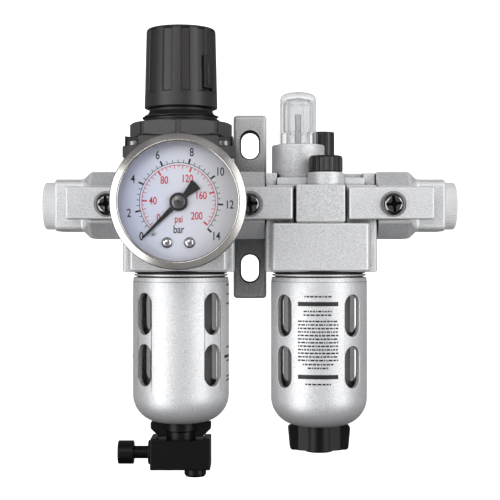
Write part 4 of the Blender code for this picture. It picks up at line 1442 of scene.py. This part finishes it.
    def _marks(self) -> None:
        """Print the bar scale in black and the psi scale in red."""
        black = [self._band(13.1, 0.2, self.full_bar)]
        for step in range(2, 36):
            bar = step * 0.4
            major = step % 5 == 0
            black.append(self._tick(bar, 13.1, 14.9 if major else 14.15, 0.62 if major else 0.22))
        for bar in range(0, 15, 2):
            angle = self.angle(bar) if bar else math.radians(223.0)
            black.append(self._lettering(str(bar), 17.0 * math.cos(angle), 17.0 * math.sin(angle), 2.75))
        black.append(self._lettering("bar", 0.0, -9.3, 2.6))
        red = [self._band(12.3, 0.2, 200 * self.bar_per_psi)]
        for step in range(2, 41):
            major = step % 8 == 0
            inner = 10.6 if major else 11.1 if step % 2 == 0 else 11.6
            red.append(self._tick(step * 5 * self.bar_per_psi, inner, 12.3, 0.55 if major else 0.2))
        for psi in range(0, 201, 40):
            angle = self.angle(psi * self.bar_per_psi) if psi else math.radians(218.5)
            reach = 8.6 if psi < 100 else 8.2 if psi < 150 else 7.7
            red.append(self._lettering(str(psi), reach * math.cos(angle), reach * math.sin(angle), 2.5))
        red.append(self._lettering("psi", 0.0, -5.8, 2.4))
        self.gather(black).publish("dial_marks_bar", Palette.INK, "manifold")
        self.gather(red).publish("dial_marks_psi", Palette.RED, "manifold")

    def _pointer(self) -> None:
        """Make the pointer, resting on zero, and its capped hub."""
        x, y, z = self.centre
        fan = [(a, b) for a, b in arc((0, 0), 8.5, -76, -104, 8)]
        blade = [(-0.28, 17.1), (0.28, 17.1), (0.62, 8.0), (0.95, 2.0), (1.0, -3.6), *fan, (-1.0, -3.6),
                 (-0.95, 2.0), (-0.62, 8.0)]
        turn = math.radians(135)
        placed = [(x + a * math.cos(turn) - b * math.sin(turn), z + a * math.sin(turn) + b * math.cos(turn))
                  for a, b in blade]
        hub = [(0, -41.3), (2.5, -41.3), (3.1, -41.0), (3.1, -40.4), (0.7, -40.3), (0.7, -34.0), (0, -34.0)]
        pointer = self._turned(hub, 64)
        pointer.join(Shape.prism(placed, y - 40.85, y - 40.45, Axis.Y))
        pointer.publish("pointer_blade", Palette.DRAIN, "gauge_needle", "gauge_needle")
        cap = [(0, -41.62), (0.5, -41.7), (0.6, -41.58), (1.9, -41.55), (2.15, -41.42), (2.15, -41.3),
               (0, -41.3)]
        self._turned(cap, 64).publish("pointer_cap", Palette.DARK_STEEL, "gauge_needle")


# ---------------------------------------------------------------------------------------------
# Bowls, filter and drains


@dataclass
class Bowl:
    """One clear bowl in its windowed metal guard."""

    layout: Layout
    prefix: str
    centre_x: float
    rows: tuple[float, float]
    turn: float = 0.0
    corner: float = 10.2
    window_width: float = 7.2
    window_height: float = 15.0

    def build(self) -> None:
        """Make the bowl, its seal and its guard."""
        guard = Extent.of(f"{self.prefix}_bowl_guard")
        self.bottom = guard.low.z
        self.centre = (self.centre_x, self.layout.axis_y, 0.0)
        self._bowl()
        self._guard()

    def _bowl(self) -> None:
        """Make the clear bowl and its seal."""
        bend = self.bottom + self.corner
        outer = [(11.9, -10.4), (11.9, -14.3), (14.8, -14.3), (14.8, -15.9), (13.0, -15.9)]
        outer += arc((5.0, bend), 8.0, 0, -90, 12)
        inner = arc((5.0, bend), 6.3, -90, 0, 12) + [(11.3, -10.4)]
        outline = outer + [(3.5, bend - 8.0), (3.5, bend - 6.3)] + inner
        Shape.lathe(outline, self.centre, steps=96).publish(
            f"{self.prefix}_clear_bowl", Palette.BOWL, f"{self.prefix}_bowl", f"{self.prefix}_bowl")
        seal = arc((12.65, -13.05), 0.43, 0, 345, 15)
        Shape.lathe(seal, self.centre, steps=72).publish(
            f"{self.prefix}_seal_ring", Palette.RUBBER, f"{self.prefix}_bowl", f"{self.prefix}_bowl_seal")

    def _guard(self) -> None:
        """Make the guard: threaded neck, straight wall, round bottom and two rows of windows."""
        bend = self.bottom + self.corner
        neck = [(14.75, height) for height in span(-24.15, -16.2, 0.2)]
        outline = neck[::-1] + [(16.7, -24.25), (16.9, -24.45), (16.9, -24.75), (15.9, -24.85),
                                (15.9, -25.05),
                                (17.1, -25.2), (17.1, -25.75), (16.0, -25.95), (16.0, -26.15), (17.3, -26.35),
                                (17.42, -27.75), (17.3, -27.85), (17.5, -27.95)]
        outline += arc((17.5 - self.corner, bend), self.corner, 0, -90, 16)
        outline += [(3.8, self.bottom), (3.8, self.bottom + 1.6)]
        outline += arc((17.5 - self.corner, bend), self.corner - 1.6, -90, 0, 16)
        outline += [(15.9, -30.5), (13.4, -28.0), (13.4, -16.2)]
        ridge = thread_ridge(1.5, 0.4, -24.0, -16.2)

        def threaded(angle: float, radius: float, height: float) -> float:
            """Raise the thread on the neck."""
            return ridge(angle, radius,
                         height) if radius < 15 and height > -24.2 and radius > 14.5 else radius

        guard = Shape.lathe(outline, self.centre, steps=180, reshape=threaded)
        x, y, _ = self.centre
        for row in self.rows:
            slot = stadium(self.window_width, self.window_height, (x, row))
            for angle in (45, 135, 225, 315):
                guard.cut(Shape.prism(slot, y - 22, y - 13, Axis.Y).turned(angle + self.turn, self.centre))
        # The window rims are rounded and marked for a painted highlight.
        guard.eased(0.32, 2, 55, lambda spot: -68 < spot.z < -30 and math.hypot(spot.x - x,
                                                                                spot.y - y) > 17.2)
        # Painted shadow: the two grooves under the casting are marked to be blackened.
        guard.mark("stained", lambda spot, _: math.hypot(spot.x - x, spot.y - y) > 15.5
                   and (-25.15 < spot.z < -24.2 or -26.3 < spot.z < -25.8))
        guard.publish(f"{self.prefix}_guard_shell", Palette.GUARD, f"{self.prefix}_guard",
                      f"{self.prefix}_bowl_guard")


@dataclass
class LevelMarks:
    """Oil level marks printed on the front of the oil bowl's guard, without words."""

    centre: tuple[float, float]
    turn: float
    radius: float = 17.5
    high: float = -35.5
    low: float = -61.2
    half_width: float = 24.0

    def build(self) -> None:
        """Print both level bars and the rows of graduation dashes."""
        patches = [self._patch(-self.half_width, self.half_width, level, 1.5)
                   for level in (self.high, self.low)]
        rows = [(self.high + 2.6, 16.0), (self.high - 2.6, 17.0), (self.high - 3.9, 17.0)]
        rows += [(self.high - 6.1 - 1.25 * k, self.half_width) for k in range(12)]
        rows += [(self.low + 4.4, 18.0), (self.low + 3.1, 12.0), (self.low - 2.6, 15.0)]
        for row, (height, reach) in enumerate(rows):
            start, k = -reach, 0
            while start < reach - 1.2:
                stop = min(reach, start + 1.6 + 0.8 * ((3 * row + 2 * k * k) % 5))
                patches.append(self._patch(start, stop, height, 0.55))
                start, k = stop + 1.0, k + 1
        Gauge.gather(patches).publish("level_marks", Palette.INK, "oil_guard")

    def _patch(self, start: float, stop: float, middle: float, height: float) -> Shape:
        """Make one mark that follows the guard's round wall.

        Args:
            start: Its left end, in degrees from straight ahead.
            stop: Its right end.
            middle: The height of its centre.
            height: How tall it is.

        Returns:
            The mark.
        """
        steps = max(1, round((stop - start) / 3))
        left, right = start - 90 + self.turn, stop - 90 + self.turn
        outline = arc(self.centre, self.radius + 0.03, left, right, steps)
        outline += arc(self.centre, self.radius - 0.1, right, left, steps)
        return Shape.prism(outline, middle - height / 2, middle + height / 2)


@dataclass
class SideMarks(LevelMarks):
    """Graduations printed on the sides of the filter bowl's guard."""

    level: float = -54.8

    def build(self) -> None:
        """Print a level bar on each side, with short dashes above and below the right one."""
        patches = [self._patch(66, 96, self.level, 1.0), self._patch(-84, -77, self.level, 1.3)]
        for step in (-8.6, -7.2, -1.6, 3.3, 19.0, 22.4, 25.8):
            patches.append(self._patch(72, 92, self.level + step, 0.5))
        Gauge.gather(patches).publish("side_marks", Palette.INK, "filter_guard")


@dataclass
class FilterParts:
    """What shows of the filter through the bowl."""

    layout: Layout

    def build(self) -> None:
        """Make the element and the baffle."""
        centre = (self.layout.regulator_x, self.layout.axis_y, 0.0)
        element = [(5.5, -38.0), (8.6, -38.0), (8.6, -12.3), (5.5, -12.3)]
        Shape.lathe(rounded(element, 0.3), centre, steps=96).publish(
            "sintered_element", Palette.SINTER, "manifold", "filter_element")
        baffle = [(0, -40.5), (9.2, -40.5), (9.8, -39.6), (9.8, -38.3), (1.8, -38.3), (1.8, -21.8),
                  (0, -21.8)]
        Shape.lathe(baffle, centre, steps=72).publish("baffle_disc", Palette.INNER, "manifold", "baffle")


@dataclass
class FilterDrain:
    """The drain block, winged nut and push button under the filter bowl."""

    layout: Layout
    button_z: float = -90.3

    def build(self) -> None:
        """Make the drain's three pieces."""
        x, y = self.layout.regulator_x, self.layout.axis_y
        centre = (x, y, 0.0)
        spindle = [(0, -73.0), (4.6, -73.0), (4.6, -74.4), (3.2, -74.4), (3.2, -79.3), (4.8, -79.3),
                   (4.8, -82.3),
                   (5.4, -82.5), (5.4, -85.6), (0, -85.6)]
        drain = Shape.lathe(spindle, centre, steps=72)
        block = Shape.block((x - 10.9, x + 10.9), (y - 7.0, y + 7.0), (-95.9, -84.6), 0.5, 3)
        block.cut(Shape.block((x - 8.4, x + 8.4), (y - 8, y + 8), (-85.3, -83)))
        drain.join(
            block,
            Shape.pin(4.4, x - 11.9, x - 10.0, (0, y, self.button_z), Axis.X, 64, 0.4),
            Shape.lathe([(0, -95.0), (4.0, -95.0), (4.0, -98.2), (3.4, -99.0), (0, -99.0)], (x + 5.2, y, 0),
                        steps=64),
        )
        drain.cut(
            Shape.pin(2.7, x - 13, x + 1.0, (0, y, self.button_z), Axis.X, 32),
            Shape.pin(1.9, -100, -89.3, (x + 5.2, y, 0), steps=32),
            Shape.pin(1.5, -89.9, -72.0, centre, steps=24),
        )
        drain.publish("drain_block", Palette.DRAIN, "filter_bowl", "drain_body")
        wings = [(-11.0, -79.1), (11.0, -79.1), (11.0, -81.4), (7.9, -84.4), (-7.9, -84.4), (-11.0, -81.4)]
        nut = Shape.prism([(x + a, z) for a, z in rounded(wings, 0.4)], y - 2.4, y + 2.4, Axis.Y).eased(0.3,
                                                                                                        2, 60)
        nut.join(Shape.pin(6.4, -82.2, -79.1, centre, steps=72, edge=0.3))
        nut.cut(Shape.bore([(4.95, -82.35)], -78, centre), Shape.bore([(5.55, -86)], -82.4, centre))
        nut.publish("winged_nut", Palette.DRAIN, "filter_bowl", "drain_nut")
        button = [(0, x - 22.9), (4.25, x - 22.9), (4.25, x - 17.2), (2.3, x - 17.2), (2.3, x - 3.0),
                  (0, x - 3.0)]
        Shape.lathe(rounded(button, 0.4, 4, closed=False), (0, y, self.button_z), Axis.X, 72).publish(
            "push_button", Palette.DRAIN, "drain_button", "drain_button")


@dataclass
class OilDrain:
    """The winged knob under the oil bowl."""

    layout: Layout

    def build(self) -> None:
        """Make the hub, its two wings and the shank."""
        x, y = self.layout.lubricator_x, self.layout.axis_y
        hub = [(0, -74.0), (4.6, -74.0), (4.6, -75.6), (3.2, -75.6), (3.2, -80.3), (5.5, -80.3), (5.5, -89.4),
               (4.9, -89.9), (0, -89.9)]
        knob = Shape.lathe(hub, (x, y, 0), steps=72)
        wing = [(-11.4, -80.3), (11.4, -80.3), (10.6, -89.2), (-10.6, -89.2)]
        blade = Shape.prism([(x + a, z) for a, z in rounded(wing, 1.3, 6)], y - 2.5, y + 2.5, Axis.Y)
        web = [(-8.4, -2.2), (-3.6, -4.6), (3.6, -4.6), (8.4, -2.2), (8.4, 2.2), (3.6, 4.6), (-3.6, 4.6),
               (-8.4, 2.2)]
        webs = Shape.prism([(x + a, y + b) for a, b in rounded(web, 1.2, 4)], -89.3, -80.4)
        knob.join(webs, blade.eased(0.5, 3, 60)).publish("oil_drain_wings", Palette.DRAIN, "oil_drain_knob",
                                                   "oil_drain_knob")


# ---------------------------------------------------------------------------------------------
# Lubricator head


@dataclass
class LubricatorHead:
    """Sight dome, oil rate knob and filler plug."""

    layout: Layout
    teeth: int = 10

    def build(self) -> None:
        """Make the three fittings on top of the lubricator."""
        self._dome()
        self._rate_knob()
        self._filler()

    def _dome(self) -> None:
        """Make the clear dome with its castellated collar."""
        cad = Extent.of("sight_dome")
        outer = [(0, 40.9), (3.6, 40.85), (5.3, 40.4), (6.2, 39.6), (6.6, 38.6), (6.7, 37.7), (6.25, 37.4),
                 (6.7, 37.0)]
        walls = [(6.7, height) for height in span(26.4, 36.8, 1.0)][::-1]
        collar = [(7.2, height) for height in span(22.0, 26.1, 0.4)][::-1]
        inner = [(5.6, 22.0), (5.6, 16.5), (4.3, 16.5), (4.3, 26.0), (5.2, 27.0), (5.2, 30.0), (5.2, 33.5),
                 (5.2, 36.6),
                 (4.2, 38.4), (0, 39.2)]

        def castellated(angle: float, radius: float, height: float) -> float:
            """Cut square teeth into the collar and soft facets into the wall.

            Args:
                angle: The direction, in radians.
                radius: The turned radius there.
                height: The height.

            Returns:
                The new radius.
            """
            if radius > 7.0:
                return radius - (0.0 if math.cos(angle * self.teeth) > -0.1 else 0.75)
            if 5.1 < radius < 5.3:
                return radius + 0.45 * math.cos(angle * 9 + 0.8)
            if radius > 6.4 and height < 36.9:
                facet = math.tau / self.teeth
                return radius * math.cos(facet / 2) / math.cos((angle + facet / 4) % facet - facet / 2)
            return radius

        dome = Shape.lathe(outer + walls + collar + inner, (cad.middle.x, cad.middle.y, 0), steps=240,
                           reshape=castellated)
        dome.publish("sight_dome_moulding", Palette.DOME, "manifold", "sight_dome")
        tube = [(0.6, 15.8), (1.1, 15.8), (1.1, 33.0), (0.6, 33.0)]
        Shape.lathe(rounded(tube, 0.1), (cad.middle.x, cad.middle.y, 0), steps=48).publish(
            "drip_pipe", Palette.NICKEL, "manifold", "drip_tube")

    def _rate_knob(self) -> None:
        """Make the oil rate knob with a grooved side."""
        cad = Extent.of("oil_rate_knob")
        outline = [(0, 3.0), (0.8, 3.0), (2.3, 5.0), (2.3, 11.6), (4.1, 11.6), (4.1, 27.5), (0, 27.5)]
        knob = Shape.lathe(rounded(outline, 0.5, 4, closed=False), (cad.middle.x, cad.middle.y, 0), steps=96)
        for angle in range(0, 360, 60):
            groove = Shape.pin(0.35, 13.0, 30.0, (4.15, 0, 0), steps=16)
            groove.moved(Matrix.Translation((cad.middle.x, cad.middle.y, 0))
                         @ Matrix.Rotation(math.radians(angle - 75), 4, "Z"))
            knob.cut(groove)
        knob.publish("rate_knob", Palette.CAP, "oil_rate_knob", "oil_rate_knob")

    def _filler(self) -> None:
        """Make the filler plug with a fluted cap."""
        cad = Extent.of("filler_plug")
        cap = [(0, 3.5), (3.9, 3.5), (3.9, 11.4), (6.0, 11.4), (6.0, 12.0), (6.0, 15.6)]
        cap += arc((4.9, 15.9), 1.1, 0, 90, 6) + [(0, 17.0)]

        def fluted(angle: float, radius: float, height: float) -> float:
            """Sink shallow finger flutes into the cap's side."""
            if radius < 5.2 or height < 11.9:
                return radius
            return radius - 0.4 * max(0.0, math.cos(angle * 12)) ** 2

        plug = Shape.lathe(cap, (cad.middle.x, cad.middle.y, 0), steps=240, reshape=fluted)
        plug.publish("filler_cap", Palette.CAP, "filler_plug", "filler_plug")


# ---------------------------------------------------------------------------------------------
# Carried-over nodes, studio and main


@dataclass
class CoilSprings:
    """The two compression springs."""

    ring_points: int = 12
    turn_steps: int = 32

    def build(self) -> None:
        """Make the pressure spring and the valve spring."""
        self._coil("pressure_coil", ("pressure_spring", "spring_guide", "spring_guide_travel"), 0.9, 5.5)
        self._coil("valve_coil", ("valve_spring", "valve", "valve_lift"), 0.45, 4.5)

    def _coil(self, name: str, place: tuple[str, str, str], wire: float, turns: float) -> None:
        """Wind one spring with closed ends, fixed at its top.

        Args:
            name: The new piece's name.
            place: The CAD node that it stands for, its body and a joint's name, which is not used.
            wire: Half the wire's thickness.
            turns: The number of turns.
        """
        node, body, joint = place
        cad = Extent.of(node)
        radius = (cad.high.x - cad.low.x) / 2 - wire
        low, high = cad.low.z + wire, cad.high.z - wire
        closed = 2.1 * wire
        rings = []
        for step in range(round(turns * self.turn_steps) + 1):
            turn = step / self.turn_steps
            if turn < 1:
                z = low + closed * turn
            elif turn > turns - 1:
                z = high - closed * (turns - turn)
            else:
                z = low + closed + (high - low - 2 * closed) * (turn - 1) / (turns - 2)
            swing = turn * math.tau
            rings.append([(cad.middle.x + (radius + wire * math.cos(a)) * math.cos(swing),
                           cad.middle.y + (radius + wire * math.cos(a)) * math.sin(swing),
                           z + wire * math.sin(a))
                          for a in (math.tau * k / self.ring_points for k in range(self.ring_points))])
        item = Shape.loft(rings).publish(name, Palette.ZINC, body, node)
        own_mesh(item)


@dataclass
class HiddenWorks:
    """CAD nodes that keep their shape and only get a finish."""

    finishes: dict[Finish, tuple[str, ...]] = field(default_factory=lambda: {
        Palette.OXIDE: ("bracket_screw_1", "bracket_screw_2"),
        Palette.ZINC: ("adjusting_screw",),
        Palette.BRASS: ("spring_guide", "diaphragm_plate", "valve_poppet", "bourdon_tube"),
        Palette.RUBBER: ("diaphragm", "filler_seal", "flow_damper"),
        Palette.INNER: ("valve_guide", "deflector"),
        Palette.BOWL: ("siphon_tube",),
    })

    def build(self, nodes: dict[str, bpy.types.Object]) -> None:
        """Give each carried-over node its finish.

        Args:
            nodes: The CAD nodes by name.
        """
        for finish, names in self.finishes.items():
            for name in names:
                data = nodes[name].data
                data.materials.clear()
                data.materials.append(finish.material())


@dataclass
class Studio:
    """Camera, softboxes in front, weak lights above and below, and a plain pale floor."""

    distance: float = 0.457
    lens: float = 90.0
    backdrop: tuple[float, float, float] = (0.93, 0.93, 0.93)

    def build(self, layout: Layout) -> None:
        """Set up the view.

        Args:
            layout: The unit's main lines.
        """
        scene = bpy.context.scene
        scene.view_settings.view_transform = "Standard"
        self._camera(layout)
        self._floor()
        self._world()
        self._lamp("left_softbox", (-0.66, -0.60, -0.18), (0.56, 1.1), 7.0)
        self._lamp("right_softbox", (0.68, -0.58, 0.06), (0.46, 1.0), 5.0)
        self._lamp("front_softbox", (-0.22, -0.85, 0.30), (0.35, 0.25), 1.1)
        self._lamp("top_softbox", (0.0, -0.80, 0.52), (0.7, 0.3), 0.35)
        self._lamp("low_softbox", (0.0, -0.75, -0.47), (1.0, 0.3), 0.45)
        self._lamp("backdrop_light", (0.0, 0.50, 1.1), (1.6, 0.5), 1.5, (0.0, 1.1, 0.0))

    def _camera(self, layout: Layout) -> None:
        """Place the camera level, in front of the unit.

        Args:
            layout: The unit's main lines.
        """
        data = bpy.data.cameras.new("camera")
        data.lens = self.lens
        data.sensor_width = 36.0
        data.clip_start = 0.02
        item = bpy.data.objects.new("camera", data)
        bpy.context.scene.collection.objects.link(item)
        item.location = (0.0, layout.axis_y * MM - self.distance, -0.01645)
        item.rotation_euler = (math.radians(90), 0, 0)
        bpy.context.scene.camera = item

    def _floor(self) -> None:
        """Make the floor, which curves up into a backdrop far behind."""
        profile = [(-1.6, -0.16)] + [(0.75 + 0.35 * math.sin(a), 0.19 - 0.35 * math.cos(a))
                                     for a in (math.pi / 2 * k / 16 for k in range(17))] + [(1.1, 1.6)]
        bm = bmesh.new()
        rows = [[bm.verts.new((x, y, z)) for y, z in profile] for x in (-2.0, 2.0)]
        for k in range(len(profile) - 1):
            bm.faces.new((rows[0][k], rows[1][k], rows[1][k + 1], rows[0][k + 1]))
        mesh = bpy.data.meshes.new("floor")
        bm.to_mesh(mesh)
        bm.free()
        mesh.shade_smooth()
        item = bpy.data.objects.new("floor", mesh)
        bpy.context.scene.collection.objects.link(item)
        graph = ShaderGraph("pale_floor")
        graph.shader.inputs["Base Color"].default_value = (*self.backdrop, 1)
        graph.shader.inputs["Roughness"].default_value = 0.9
        graph.shader.inputs["Emission Color"].default_value = (1, 1, 1, 1)
        graph.shader.inputs["Emission Strength"].default_value = 1.0
        mesh.materials.append(graph.material)
        item.visible_glossy = False
        item.visible_diffuse = False

    def _world(self) -> None:
        """Fill the room with soft light that is darker low down."""
        world = bpy.data.worlds.new("studio")
        bpy.context.scene.world = world
        world.use_nodes = True
        tree = world.node_tree
        back = tree.nodes["Background"]
        back.inputs["Strength"].default_value = 0.36
        place = tree.nodes.new("ShaderNodeTexCoord")
        split = tree.nodes.new("ShaderNodeSeparateXYZ")
        ramp = tree.nodes.new("ShaderNodeValToRGB")
        ramp.color_ramp.elements[0].position = 0.25
        ramp.color_ramp.elements[0].color = (0.16, 0.16, 0.165, 1)
        ramp.color_ramp.elements[1].position = 0.52
        ramp.color_ramp.elements[1].color = (0.80, 0.80, 0.83, 1)
        ramp.color_ramp.elements.new(0.88).color = (0.42, 0.42, 0.44, 1)
        half = tree.nodes.new("ShaderNodeMath")
        half.operation = "MULTIPLY_ADD"
        half.inputs[1].default_value = 0.5
        half.inputs[2].default_value = 0.5
        tree.links.new(place.outputs["Generated"], split.inputs[0])
        tree.links.new(split.outputs["Z"], half.inputs[0])
        tree.links.new(half.outputs[0], ramp.inputs["Fac"])
        tree.links.new(ramp.outputs["Color"], back.inputs["Color"])

    def _lamp(self, name: str, place: tuple[float, float, float], size: tuple[float, float], watts: float,
              target: tuple[float, float, float] = (0.0, -0.03, -0.02)) -> None:
        """Hang one soft lamp that points at a target.

        Args:
            name: The lamp's name.
            place: Where it hangs, in metres.
            size: Its width and height.
            watts: Its power.
            target: The point that it faces.
        """
        data = bpy.data.lights.new(name, "AREA")
        data.shape = "RECTANGLE"
        data.size, data.size_y = size
        data.energy = watts
        item = bpy.data.objects.new(name, data)
        bpy.context.scene.collection.objects.link(item)
        item.location = place
        item.rotation_euler = (Vector(place) - Vector(target)).to_track_quat("Z", "Y").to_euler()


def main() -> None:
    """Build the unit in order."""
    logging.basicConfig(level=logging.INFO, format="%(message)s")
    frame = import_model()
    layout = Layout()
    Studio().build(layout)
    Castings(layout).build()
    Clamps(layout).build()
    PortPlugs(layout).build()
    PressureHead(layout).build()
    Gauge(layout).build()
    Bowl(layout, "filter", layout.regulator_x, (-39.2, -57.5), -1.0).build()
    Bowl(layout, "oil", layout.lubricator_x, (-39.8, -58.1), -4.2).build()
    LevelMarks((layout.lubricator_x, layout.axis_y), -4.2).build()
    SideMarks((layout.regulator_x, layout.axis_y), 0.0).build()
    FilterParts(layout).build()
    FilterDrain(layout).build()
    OilDrain(layout).build()
    LubricatorHead(layout).build()
    CoilSprings().build()
    HiddenWorks().build(frame["nodes"])
    bpy.context.view_layer.update()


if __name__ == "__main__":
    main()
